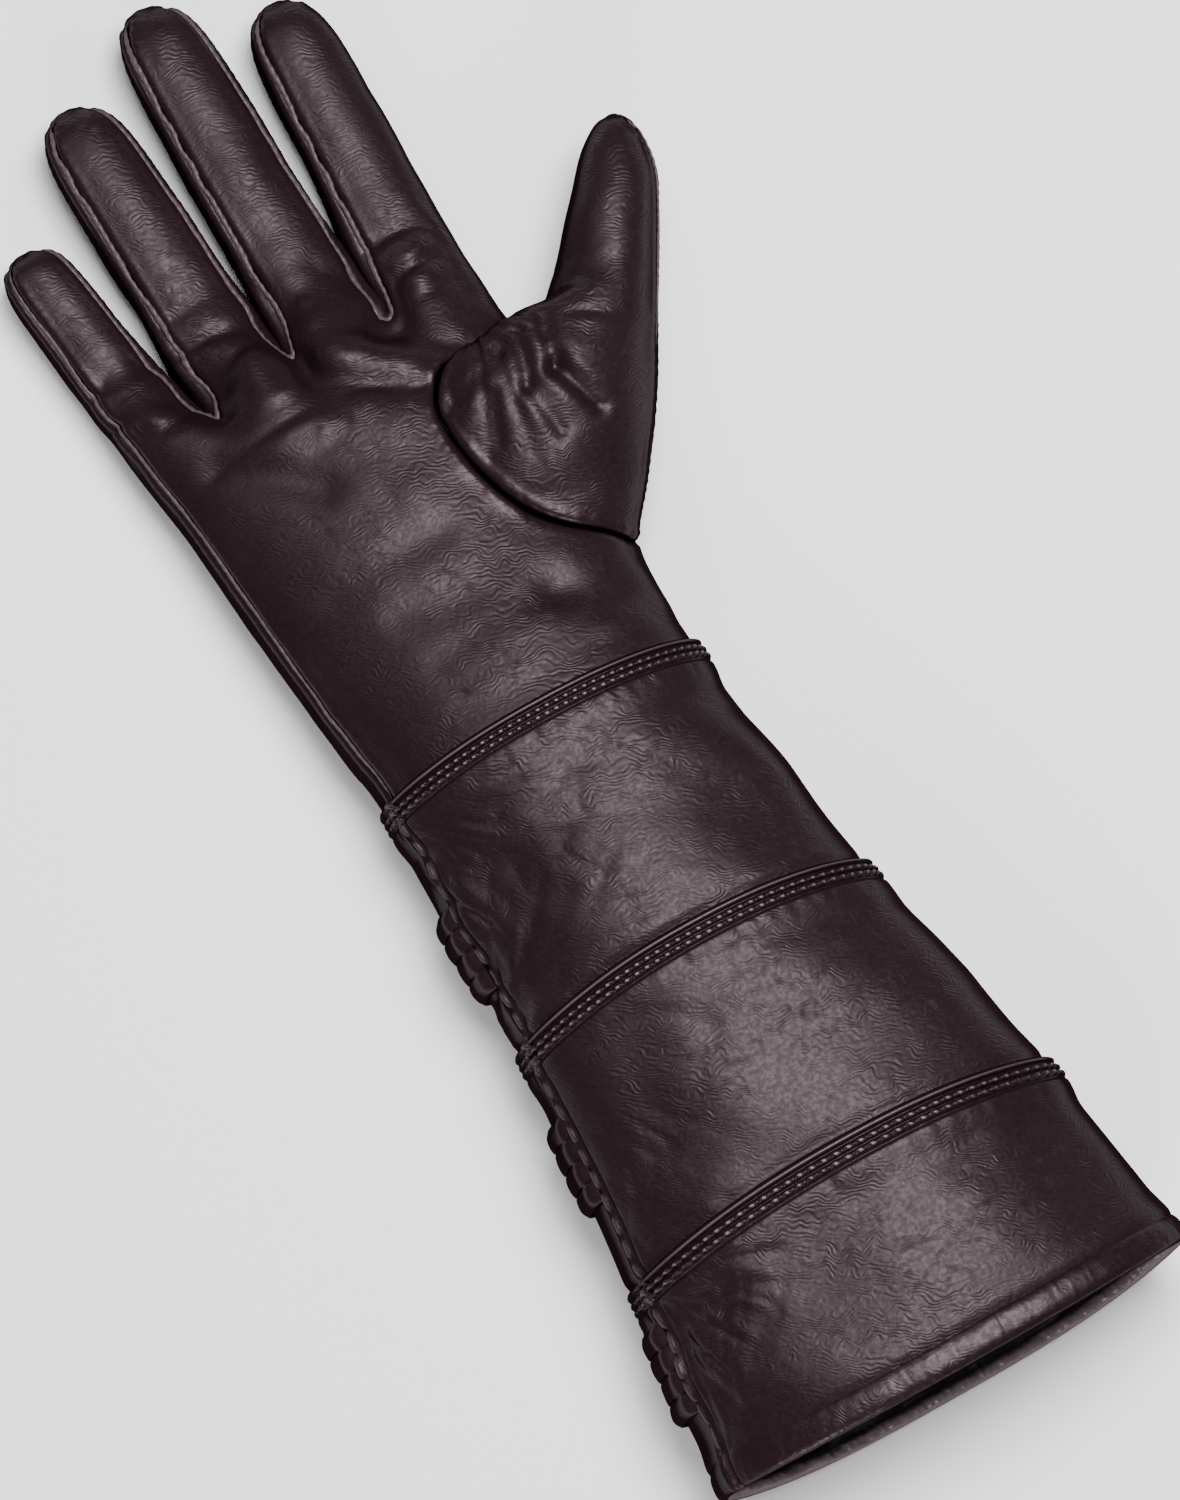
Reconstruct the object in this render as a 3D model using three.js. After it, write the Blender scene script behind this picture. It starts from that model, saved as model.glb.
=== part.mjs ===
// A right-hand leather gauntlet glove, lying on its back with the palm up.
// Millimetres. X runs towards the thumb, Y from the open mouth towards the fingertips, Z up.
// The hand is cut and sewn as on the real glove: a palm, a back, three fourchettes between the
// fingers and a set-in thumb. The gauntlet is three lapped panels with a rolled hem at the mouth,
// a lining sleeve inside and three ribbed bands across its back.
import * as THREE from "three";

// Leather, lining and clearances
const LEATHER = 1.2;
const LINING = 0.9;
const SEAM_GAP = 0.4; // between two sewn edges that meet
const LAYER_GAP = 0.45; // between two layers of leather that lie on each other
const LINING_GAP = 0.7; // between the leather and the lining
const LAP = 8; // how far a panel covers the piece above it

// The hand
const WRIST_WIDTH = 86;
const WRIST_HEIGHT = 44;
const PALM_WIDTH = 97.6; // across the knuckles
const KNUCKLE_HEIGHT = 27;
const KNUCKLE_DRIFT = -5.7; // how far the knuckles sit to the little finger's side of the wrist
const PALM_LENGTH = 112; // from the wrist seam to the roots of the fingers
const LITTLE_LENGTH = 54;
const RING_LENGTH = 80.5;
const MIDDLE_LENGTH = 94;
const INDEX_LENGTH = 80;
const FINGER_HEIGHT = 20; // the middle finger's thickness at its root
const FINGER_LIFT = 4; // how far the fingertips curl off the table
const FINGER_GAP = 0.9; // between two fingers at their roots
const FINGER_ROLL = 13; // degrees that the fingers turn towards the thumb
const THUMB_LENGTH = 47.5; // from the crotch to the tip
const THUMB_WIDTH = 26.8;
const THUMB_HEIGHT = 27;
const THUMB_ANGLE = 34; // degrees from the hand's axis
const FOLD_DEPTH = 1.6; // of the deepest folds in the palm and the ball of the thumb
const FOLD_SPREAD = 4;
const DENT_DEPTH = 1.5; // of the soft dents in the gauntlet's panels

// The gauntlet
const MOUTH_WIDTH = 128;
const MOUTH_HEIGHT = 58;
const MOUTH_DRIFT = 9.4; // how far the mouth sits to the thumb's side of the wrist
const MOUTH_BOW = 4.5; // how far the mouth's back edge bows out between its two sides
const MOUTH_PALM_BOW = 2; // and its palm edge
const SEAM_BOW = 6; // how far the palm side of the cross seams bows towards the fingers
const UPPER_PANEL = 66.9; // lengths along the glove, from seam to seam
const MIDDLE_PANEL = 62.5;
const LOWER_PANEL = 47.1;
const HEM_LENGTH = 6;
const BAND_LENGTH = 23;
const BAND_THICKNESS = 2.4;
const BAND_RIBS = 4;
const RIB_DEPTH = 0.6;
// Where each band's middle lies, as a share of its panel's length from the seam nearer the fingers
const UPPER_BAND_PLACE = 0.54;
const MIDDLE_BAND_PLACE = 0.43;
const LOWER_BAND_PLACE = 0.46;

const rad = THREE.MathUtils.degToRad;
const mix = THREE.MathUtils.lerp;

// Where the seams lie along the glove; the wrist seam is at 0
const UPPER_SEAM = -UPPER_PANEL;
const LOWER_SEAM = UPPER_SEAM - MIDDLE_PANEL;
const HEM_SEAM = LOWER_SEAM - LOWER_PANEL;
const LAP_RISE = LEATHER + LAYER_GAP; // how far a lapping edge stands off the piece below it
const BAND_REST = LAP_RISE / 2 + LAYER_GAP + BAND_THICKNESS; // the gauntlet's back above the table

// Sections of the glove's body from the mouth to the knuckles. flare and drift are shares of the
// change of width and of the sideways shift, rise is a share of the change of height, floor is a
// share of the height at which the bands hold the gauntlet's back off the table, and mouth and
// seam are the shares of the two bows.
const GAUNTLET_SECTIONS = [
  { along: HEM_SEAM - HEM_LENGTH, flare: 1.0, drift: 1.0, rise: 1.0, floor: 1, mouth: 1, seam: 0 },
  { along: LOWER_SEAM, flare: 0.66, drift: 0.88, rise: 0.71, floor: 1, mouth: 0.1, seam: 1 },
  { along: UPPER_SEAM, flare: 0.22, drift: 0.42, rise: 0.39, floor: 1, mouth: 0, seam: 0.9 },
  { along: UPPER_SEAM / 2, flare: 0.1, drift: 0.2, rise: 0.2, floor: 1, mouth: 0, seam: 0.7 },
  { along: 0, flare: 0, drift: 0, rise: 0, floor: 0.75, mouth: 0, seam: 0.5 },
];
const HAND_SECTIONS = [
  { share: 0.17, flare: 0.13, drift: 0.16, rise: 0.8, floor: 0.1 },
  { share: 0.33, flare: 0.41, drift: 0.26, rise: 0.66, floor: -0.2 },
  { share: 0.54, flare: 0.63, drift: 0.39, rise: 0.54, floor: -0.2 },
  { share: 0.76, flare: 0.81, drift: 0.61, rise: 0.34, floor: -0.2 },
  { share: 0.9, flare: 0.93, drift: 0.85, rise: 0.14, floor: -0.2 },
  { share: 1.0, flare: 1.0, drift: 1.0, rise: 0.0, floor: -0.1 },
];
const STATIONS = [
  ...GAUNTLET_SECTIONS.map((s) => ({
    y: s.along,
    width: mix(WRIST_WIDTH, MOUTH_WIDTH, s.flare),
    centre: MOUTH_DRIFT * s.drift,
    top: mix(WRIST_HEIGHT, MOUTH_HEIGHT, s.rise),
    bottom: BAND_REST * s.floor,
    palmBow: SEAM_BOW * s.seam - MOUTH_PALM_BOW * s.mouth,
    backBow: -MOUTH_BOW * s.mouth,
  })),
  ...HAND_SECTIONS.map((s) => ({
    y: PALM_LENGTH * s.share,
    width: mix(WRIST_WIDTH, PALM_WIDTH, s.flare),
    centre: KNUCKLE_DRIFT * s.drift,
    top: mix(KNUCKLE_HEIGHT, WRIST_HEIGHT, s.rise),
    bottom: BAND_REST * s.floor,
    palmBow: 0,
    backBow: 0,
  })),
];
const TOP_FULLNESS = 2.25; // superellipse exponents: the palm side is round, the back is flat
const BACK_FULLNESS = 3;
const WAIST = 0.46; // height of the widest point, as a share of the section's height

// The columns of the body's net, as degrees round a section: 0 is the thumb's side, 90 the palm.
// Web columns lie between the fingers and root columns at their middles.
const COLUMNS = [
  { name: "ulnar_seam", angle: 160 },
  { name: "little_root", angle: 138 },
  { name: "little_web", angle: 117 },
  { name: "ring_root", angle: 101.5 },
  { name: "ring_web", angle: 91 },
  { name: "middle_root", angle: 83 },
  { name: "middle_web", angle: 63.5 },
  { name: "index_root", angle: 47 },
  { name: "radial_corner", angle: 21 },
  { name: "radial_side", angle: 0 },
  { name: "back_radial_corner", angle: -24 },
  { name: "back_index_root", angle: -45.5 },
  { name: "back_middle_web", angle: -60 },
  { name: "back_middle_root", angle: -80.5 },
  { name: "back_ring_web", angle: -91 },
  { name: "back_ring_root", angle: -102 },
  { name: "back_little_web", angle: -118 },
  { name: "back_little_root", angle: -137 },
  { name: "back_ulnar_corner", angle: -158 },
  { name: "ulnar_side", angle: -180 },
];
const column = (name) => COLUMNS.findIndex((c) => c.name === name);

// Rows of the hand's net, as shares of the palm's length, from the edge under the gauntlet's lap
// to the roots of the fingers.
const HAND_ROWS = [-LAP / PALM_LENGTH, LAP / PALM_LENGTH, 0.3, 0.45, 0.59, 0.71, 0.84, 1.0];

// The thumb's seam round its hole in the palm, and the net beside it: degrees and share of length.
const THUMB_SEAM = [
  { row: 2, column: "middle_web", angle: 62, share: 0.415 },
  { row: 2, column: "index_root", angle: 50, share: 0.34 },
  { row: 2, column: "radial_corner", angle: 31, share: 0.287 },
  { row: 2, column: "radial_side", angle: 5, share: 0.263 },
  { row: 2, column: "back_radial_corner", angle: -24, share: 0.28 },
  { row: 3, column: "middle_web", angle: 68, share: 0.505 },
  { row: 3, column: "radial_side", angle: -13, share: 0.385 },
  { row: 3, column: "back_radial_corner", angle: -30, share: 0.425 },
  { row: 4, column: "middle_web", angle: 70.5, share: 0.607 },
  { row: 4, column: "radial_side", angle: -15, share: 0.53 },
  { row: 4, column: "back_radial_corner", angle: -32, share: 0.558 },
  { row: 5, column: "middle_web", angle: 69.5, share: 0.7 },
  { row: 5, column: "radial_side", angle: -12, share: 0.683 },
  { row: 5, column: "back_radial_corner", angle: -30, share: 0.702 },
  { row: 6, column: "middle_web", angle: 61.5, share: 0.78 },
  { row: 6, column: "index_root", angle: 48, share: 0.797 },
  { row: 6, column: "radial_corner", angle: 28, share: 0.809 },
  { row: 6, column: "radial_side", angle: 3, share: 0.818 },
  { row: 2, column: "middle_root", angle: 81, share: 0.366 },
  { row: 3, column: "middle_root", angle: 83, share: 0.482 },
  { row: 4, column: "middle_root", angle: 84, share: 0.597 },
  { row: 5, column: "middle_root", angle: 84, share: 0.712 },
  { row: 6, column: "middle_root", angle: 83, share: 0.818 },
];

const SEAM_ROWS = THUMB_SEAM.map((s) => s.row);
const THUMB_FIRST_ROW = Math.min(...SEAM_ROWS);
const THUMB_LAST_ROW = Math.max(...SEAM_ROWS);

// Fingers from the little finger to the index: width is a share of the room between the fingers,
// splay is degrees from the hand's axis, and web is how far the crotch on the thumb's side lies
// from the line of the roots, as a share of the palm's length.
const FINGERS = [
  { name: "little", length: LITTLE_LENGTH, width: 0.211, height: 0.9, splay: -8.2, web: -0.075 },
  { name: "ring", length: RING_LENGTH, width: 0.256, height: 0.97, splay: -3.4, web: -0.022 },
  { name: "middle", length: MIDDLE_LENGTH, width: 0.268, height: 1.0, splay: -0.9, web: -0.045 },
  { name: "index", length: INDEX_LENGTH, width: 0.255, height: 0.98, splay: 1.4, web: 0 },
];
// Rings of a finger: share of its length, of its width and of its height.
const FINGER_RINGS = [
  { share: 0.16, width: 1.0, height: 1.0 },
  { share: 0.44, width: 0.975, height: 0.96 },
  { share: 0.74, width: 0.93, height: 0.9 },
  { share: 0.9, width: 0.8, height: 0.77 },
  { share: 0.972, width: 0.5, height: 0.47 },
];
// The section of a finger: the four corners are its seams, as shares of half width and height.
const FINGER_SECTION = [
  { across: -0.91, up: 0.56 },
  { across: -0.1, up: 1 },
  { across: 0.76, up: 0.78 },
  { across: 1, up: 0 },
  { across: 0.76, up: -0.78 },
  { across: 0, up: -1 },
  { across: -0.76, up: -0.78 },
  { across: -1, up: 0 },
];
const WEB_STEP = 0.11; // how far the crotch rises from the palm side to the back, by palm length
const WEB_PALM_HEIGHT = 0.74; // heights of the crotch's two ends, as shares of the knuckles' height
const WEB_BACK_HEIGHT = 0.12;

// Rings of the thumb from its root to its tip: shares of its length, width and height, and how
// far the ring's middle lies from the thumb's axis, as a share of the width.
const THUMB_RINGS = [
  { share: 0, width: 1, height: 1, shift: 0 },
  { share: 0.3, width: 0.88, height: 0.92, shift: 0.033 },
  { share: 0.6, width: 0.77, height: 0.82, shift: 0.042 },
  { share: 0.8, width: 0.625, height: 0.66, shift: 0.024 },
  { share: 0.925, width: 0.4, height: 0.43, shift: 0 },
];
// The middle of the thumb's root: shares of half the hand's width there, of the palm's length and
// of the knuckles' height.
const THUMB_ROOT = { across: 1.43, along: 0.752, up: 0.889 };
const THUMB_BULGE = 5.5; // how far the ball of the thumb stands above a straight line
const THUMB_SIDE_BULGE = 0.35; // how far it stands out sideways, as a share of that
const BALL_ROWS = [0.3, 0.65]; // rows of the ball between the seam and the thumb's root
// Degrees round the thumb of the net's columns, in the order of the seam round its hole.
const THUMB_ANGLES = [0, 22, 44, 63, 80, 97, 114, 132, 151, 171, 195, 236, 277, 319];

// Folds of the hand's palm side, each straight from one place to another. across is a share of
// half the palm's width from the wrist's middle, along a share of the palm's length. depth and
// spread are shares of the folds' own, and a ridge has a negative depth.
const FOLDS = [
  { across: 0.36, along: 0.75, toAcross: -0.26, toAlong: 0.94, depth: 0.6, spread: 0.8 },
  { across: 0.33, along: 0.92, toAcross: 0.69, toAlong: 0.76, depth: 0.9, spread: 1 },
  { across: 0.3, along: 0.84, toAcross: 0.1, toAlong: 0.9, depth: -0.5, spread: 1.2 },
  { across: -0.76, along: 0.82, toAcross: -0.37, toAlong: 0.67, depth: 0.8, spread: 1.3 },
  { across: -0.45, along: 0.86, toAcross: 0.1, toAlong: 0.73, depth: -0.6, spread: 1.8 },
  { across: -0.58, along: 0.44, toAcross: 0.02, toAlong: 0.46, depth: 0.5, spread: 1.2 },
  { across: -0.37, along: 0.33, toAcross: 0.2, toAlong: 0.34, depth: 0.6, spread: 1.2 },
  { across: -0.3, along: 0.21, toAcross: 0.3, toAlong: 0.24, depth: 0.6, spread: 1.2 },
  { across: 0.39, along: 0.21, toAcross: 0.79, toAlong: 0.12, depth: 1, spread: 1.4 },
  { across: 0.97, along: 0.75, toAcross: 0.89, toAlong: 0.59, depth: 0.9, spread: 0.9 },
  { across: 0.89, along: 0.59, toAcross: 1.0, toAlong: 0.51, depth: 1, spread: 0.8 },
  { across: 0.83, along: 0.72, toAcross: 0.5, toAlong: 0.59, depth: 0.6, spread: 0.8 },
];

// Soft dents of the gauntlet's palm side: along is a share of its length from the wrist to the
// mouth, angle is in degrees round it. reach is a share of its length, and round is in degrees.
const DENTS = [
  { along: 0.19, angle: 128, depth: 0.9, reach: 0.1, round: 16 },
  { along: 0.22, angle: 52, depth: 0.7, reach: 0.1, round: 18 },
  { along: 0.2, angle: 88, depth: -0.5, reach: 0.12, round: 20 },
  { along: 0.53, angle: 122, depth: 1, reach: 0.11, round: 15 },
  { along: 0.56, angle: 60, depth: 0.6, reach: 0.1, round: 16 },
  { along: 0.83, angle: 104, depth: 1, reach: 0.1, round: 14 },
  { along: 0.86, angle: 42, depth: 0.8, reach: 0.1, round: 16 },
];

// A value of the station table between its rows, on a smooth curve through them.
function station(y) {
  let i = STATIONS.findIndex((s) => s.y >= y);
  i = THREE.MathUtils.clamp(i < 0 ? STATIONS.length - 1 : i, 1, STATIONS.length - 1);
  const rows = [i - 2, i - 1, i, i + 1].map(
    (k) => STATIONS[THREE.MathUtils.clamp(k, 0, STATIONS.length - 1)],
  );
  const [a, b, c, d] = rows;
  const span = c.y - b.y;
  const t = (y - b.y) / span;
  const found = { y };
  for (const key of ["width", "centre", "top", "bottom", "palmBow", "backBow"]) {
    const slopeB = c === a ? 0 : ((c[key] - a[key]) / (c.y - a.y)) * span;
    const slopeC = d === b ? 0 : ((d[key] - b[key]) / (d.y - b.y)) * span;
    const h = t * t * (3 - 2 * t);
    const rise = t * (1 - t) * ((1 - t) * slopeB - t * slopeC);
    found[key] = mix(b[key], c[key], h) + rise;
  }
  return found;
}

// How far the gauntlet's dents lie inside its plain form.
function dent(y, degrees) {
  const depths = DENTS.map((d) => {
    const along = (y / HEM_SEAM - d.along) / d.reach;
    const round = (degrees - d.angle) / d.round;
    return d.depth * Math.exp(-along * along - round * round);
  });
  return DENT_DEPTH * depths.reduce((total, d) => total + d, 0);
}

// How far the hand's folds lie inside its plain form, seen from the palm's side.
function foldDepth(point) {
  let total = 0;
  for (const f of FOLDS) {
    const start = new THREE.Vector2((f.across * PALM_WIDTH) / 2, f.along * PALM_LENGTH);
    const end = new THREE.Vector2((f.toAcross * PALM_WIDTH) / 2, f.toAlong * PALM_LENGTH);
    const run = end.clone().sub(start);
    const from = new THREE.Vector2(point.x, point.y).sub(start);
    const share = THREE.MathUtils.clamp(from.dot(run) / run.lengthSq(), 0, 1);
    const away = from.addScaledVector(run, -share).length() / (f.spread * FOLD_SPREAD);
    total += f.depth * Math.exp(-away * away);
  }
  return FOLD_DEPTH * total;
}

// A point of the body's outer face: y along it, degrees round it, and how far outside it.
function bodyPoint(y, degrees, offset = 0) {
  const outside = offset - dent(y, degrees);
  const s = station(y);
  const waist = mix(Math.max(s.bottom, 0), s.top, WAIST);
  const c = Math.cos(rad(degrees));
  const n = Math.sin(rad(degrees));
  const power = 2 / (n >= 0 ? TOP_FULLNESS : BACK_FULLNESS);
  const reach = n >= 0 ? s.top - waist : waist - s.bottom;
  const x = s.centre + (s.width / 2 + outside) * Math.sign(c) * Math.abs(c) ** power;
  const z = waist + (reach + outside) * Math.sign(n) * Math.abs(n) ** power;
  return new THREE.Vector3(x, y + (n >= 0 ? s.palmBow : s.backBow) * n * n, z);
}

// A net of four-sided faces. Each face belongs to a piece of the glove. A point of the body may
// keep its place on it: y along it and the direction round it.
class Net {
  constructor() {
    this.points = [];
    this.places = [];
    this.faces = [];
  }
  add(point, place = null) {
    this.places.push(place);
    return this.points.push(point) - 1;
  }
  addOnBody(y, degrees) {
    const place = { y, across: Math.cos(rad(degrees)), up: Math.sin(rad(degrees)) };
    return this.add(bodyPoint(y, degrees), place);
  }
  between(indices) {
    const places = indices.map((i) => this.places[i]);
    if (places.includes(null)) return null;
    const total = (key) => places.reduce((t, p) => t + p[key], 0) / places.length;
    return { y: total("y"), across: total("across"), up: total("up") };
  }
  face(piece, ...corners) {
    this.faces.push({ piece, corners });
  }
}

// The neighbours that smoothing needs: each point's edges and faces, and the edges on a border.
function neighbours(net) {
  const edges = new Map();
  const around = net.points.map(() => ({ edges: new Set(), faces: [], border: new Set() }));
  net.faces.forEach(({ corners }, f) =>
    corners.forEach((a, k) => {
      const b = corners[(k + 1) % 4];
      const key = a < b ? `${a}_${b}` : `${b}_${a}`;
      if (!edges.has(key)) edges.set(key, { a, b, faces: [] });
      edges.get(key).faces.push(f);
      around[a].faces.push(f);
      around[a].edges.add(b);
      around[b].edges.add(a);
    }),
  );
  for (const { a, b, faces } of edges.values())
    if (faces.length === 1) {
      around[a].border.add(b);
      around[b].border.add(a);
    }
  return { edges, around };
}

const sum = (points) => points.reduce((t, p) => t.add(p), new THREE.Vector3());
const mean = (points) => sum(points).divideScalar(points.length);

// Where each point of the net ends up on the smooth surface that the net stands for.
function limits(net, points, around) {
  return points.map((p, i) => {
    const { edges, faces, border } = around[i];
    if (border.size)
      return sum([...border].map((k) => points[k])).addScaledVector(p, 4).divideScalar(4 + border.size);
    const n = faces.length;
    const sides = sum([...edges].map((k) => points[k]));
    const far = sum(
      faces.map((f) => {
        const { corners } = net.faces[f];
        return points[corners[(corners.indexOf(i) + 2) % 4]];
      }),
    );
    return far.addScaledVector(sides, 4).addScaledVector(p, n * n).divideScalar(n * (n + 5));
  });
}

// Moves the net's points so that the smooth surface passes through where they were.
function throughPoints(net) {
  const { around } = neighbours(net);
  const wanted = net.points.map((p) => p.clone());
  const STEPS = 6;
  for (let step = 0; step < STEPS; step++)
    limits(net, net.points, around).forEach((p, i) => net.points[i].add(wanted[i]).sub(p));
}

// One round of Catmull-Clark: each face becomes four, with its points on the smooth surface.
function smoothed(net) {
  const { edges, around } = neighbours(net);
  const fine = new Net();
  const middles = net.faces.map(({ corners }) => mean(corners.map((i) => net.points[i])));
  net.points.forEach((p, i) => {
    const { edges: sides, faces, border } = around[i];
    if (border.size) {
      const beside = sum([...border].map((k) => net.points[k]));
      fine.add(beside.addScaledVector(p, 6).divideScalar(6 + border.size), net.places[i]);
      return;
    }
    const n = faces.length;
    const spokes = mean([...sides].map((k) => net.points[k].clone().add(p).divideScalar(2)));
    fine.add(
      mean(faces.map((f) => middles[f]))
        .addScaledVector(spokes, 2)
        .addScaledVector(p, n - 3)
        .divideScalar(n),
      net.places[i],
    );
  });
  const middleOf = middles.map((m, f) => fine.add(m, net.between(net.faces[f].corners)));
  const edgeOf = new Map();
  for (const [key, { a, b, faces }] of edges) {
    const ends = [net.points[a], net.points[b]];
    const shared = faces.length === 2 ? [...ends, ...faces.map((f) => middles[f])] : ends;
    edgeOf.set(key, fine.add(mean(shared), net.between([a, b])));
  }
  const between = (a, b) => edgeOf.get(a < b ? `${a}_${b}` : `${b}_${a}`);
  net.faces.forEach(({ piece, corners }, f) =>
    corners.forEach((a, k) => {
      const next = corners[(k + 1) % 4];
      const last = corners[(k + 3) % 4];
      fine.face(piece, a, between(a, next), middleOf[f], between(last, a));
    }),
  );
  fine.points = limits(fine, fine.points, neighbours(fine).around);
  // Under the gauntlet's lap the surface is the body's own.
  fine.places.forEach((place, i) => {
    if (!place || place.y > SEAM_GAP / 2) return;
    const degrees = THREE.MathUtils.radToDeg(Math.atan2(place.up, place.across));
    fine.points[i] = bodyPoint(place.y, degrees);
  });
  return fine;
}

// The outward direction at each point of a net.
function normals(net) {
  const found = net.points.map(() => new THREE.Vector3());
  for (const { corners } of net.faces) {
    const [a, b, c, d] = corners.map((i) => net.points[i]);
    const facing = c.clone().sub(a).cross(d.clone().sub(b));
    corners.forEach((i) => found[i].add(facing));
  }
  return found.map((n) => n.normalize());
}

// One leather piece cut from a net: its outer face, the same face a wall's thickness inside, and
// the cut edges between them, drawn back by half a seam gap where the piece meets another.
function leatherPiece(net, outward, piece) {
  const faces = net.faces.filter((f) => f.piece === piece).map((f) => f.corners);
  const open = new Map();
  for (const corners of faces)
    corners.forEach((a, k) => {
      const b = corners[(k + 1) % 4];
      if (open.has(`${b}_${a}`)) open.delete(`${b}_${a}`);
      else open.set(`${a}_${b}`, [a, b]);
    });
  const drawn = new Map();
  for (const [a, b] of open.values()) {
    const along = net.points[b].clone().sub(net.points[a]).normalize();
    const inwards = outward[a].clone().add(outward[b]).cross(along).normalize();
    for (const i of [a, b]) drawn.set(i, (drawn.get(i) ?? new THREE.Vector3()).add(inwards));
  }
  const used = [...new Set(faces.flat())];
  const slot = new Map(used.map((i, k) => [i, k]));
  const outer = used.map((i) => {
    const p = net.points[i].clone();
    if (drawn.has(i)) p.addScaledVector(drawn.get(i).normalize(), SEAM_GAP / 2);
    return p;
  });
  const inner = outer.map((p, k) => p.clone().addScaledVector(outward[used[k]], -LEATHER));
  const n = used.length;
  const triangles = [];
  for (const corners of faces) {
    const [a, b, c, d] = corners.map((i) => slot.get(i));
    triangles.push([a, b, c], [a, c, d], [n + c, n + b, n + a], [n + d, n + c, n + a]);
  }
  // Both pieces at a seam split the faces of the cut edge along the same diagonal.
  for (const [from, to] of open.values()) {
    const a = slot.get(from);
    const b = slot.get(to);
    if (from < to) triangles.push([b, a, n + a], [b, n + a, n + b]);
    else triangles.push([b, a, n + b], [a, n + a, n + b]);
  }
  return solid([...outer, ...inner], triangles);
}

function solid(points, triangles) {
  const geometry = new THREE.BufferGeometry().setFromPoints(points);
  geometry.setIndex(triangles.flat());
  geometry.computeVertexNormals();
  return geometry;
}

// The hand's net: rows of the body from the wrist to the knuckles, then four fingers.
function handNet() {
  const net = new Net();
  const moved = new Map(THUMB_SEAM.map((s) => [`${s.row}_${column(s.column)}`, s]));
  const onWeb = COLUMNS.map((c) => c.name.endsWith("_web"));
  const rows = HAND_ROWS.map((share, r) =>
    COLUMNS.map(({ name, angle }, c) => {
      const seam = moved.get(`${r}_${c}`);
      const index = net.addOnBody(PALM_LENGTH * (seam?.share ?? share), seam?.angle ?? angle);
      const point = net.points[index];
      if (r === HAND_ROWS.length - 1 && onWeb[c]) {
        const finger = FINGERS.find((f) => name.includes(f.name));
        const back = name.startsWith("back");
        point.y += PALM_LENGTH * (finger.web + (back ? WEB_STEP : 0));
        point.z = KNUCKLE_HEIGHT * (back ? WEB_BACK_HEIGHT : WEB_PALM_HEIGHT);
      }
      return index;
    }),
  );
  const firstPalm = column("ulnar_seam");
  const lastPalm = column("back_radial_corner");
  const holeLeft = column("middle_web");
  const holeRight = column("radial_side");
  for (let r = 0; r + 1 < rows.length; r++)
    for (let c = 0; c < COLUMNS.length; c++) {
      const inHole = c >= holeLeft && c < holeRight && r >= THUMB_FIRST_ROW && r < THUMB_LAST_ROW;
      if (inHole) continue;
      const next = (c + 1) % COLUMNS.length;
      const piece = c >= firstPalm && c < lastPalm ? "palm" : "back";
      net.face(piece, rows[r][c], rows[r][next], rows[r + 1][next], rows[r + 1][c]);
    }
  const top = rows[rows.length - 1];
  // The middle of each crotch, halfway through the hand between its palm and back corners.
  const crotches = FINGERS.slice(0, -1).map((f) => {
    const palm = net.points[top[column(`${f.name}_web`)]];
    const back = net.points[top[column(`back_${f.name}_web`)]];
    return net.add(mean([palm, back]));
  });
  FINGERS.forEach((finger, f) => {
    const at = (name) => top[column(name)];
    const left = f ? FINGERS[f - 1].name : null;
    const right = f < FINGERS.length - 1 ? finger.name : null;
    const root = [
      left ? at(`${left}_web`) : at("ulnar_seam"),
      at(`${finger.name}_root`),
      right ? at(`${right}_web`) : at("radial_corner"),
      right ? crotches[f] : at("radial_side"),
      right ? at(`back_${right}_web`) : at("back_radial_corner"),
      at(`back_${finger.name}_root`),
      left ? at(`back_${left}_web`) : at("back_ulnar_corner"),
      left ? crotches[f - 1] : at("ulnar_side"),
    ];
    addFinger(net, finger, root, [
      "palm",
      "palm",
      right ? `fourchette_${finger.name}` : "palm",
      right ? `fourchette_${finger.name}` : "palm",
      "back",
      "back",
      left ? `fourchette_${left}` : "back",
      left ? `fourchette_${left}` : "back",
    ]);
  });
  const holeRim = [];
  for (let c = holeRight; c > holeLeft; c--) holeRim.push(rows[THUMB_FIRST_ROW][c]);
  for (let r = THUMB_FIRST_ROW; r < THUMB_LAST_ROW; r++) holeRim.push(rows[r][holeLeft]);
  for (let c = holeLeft; c < holeRight; c++) holeRim.push(rows[THUMB_LAST_ROW][c]);
  for (let r = THUMB_LAST_ROW; r > THUMB_FIRST_ROW; r--) holeRim.push(rows[r][holeRight]);
  return { net, holeRim };
}

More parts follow.
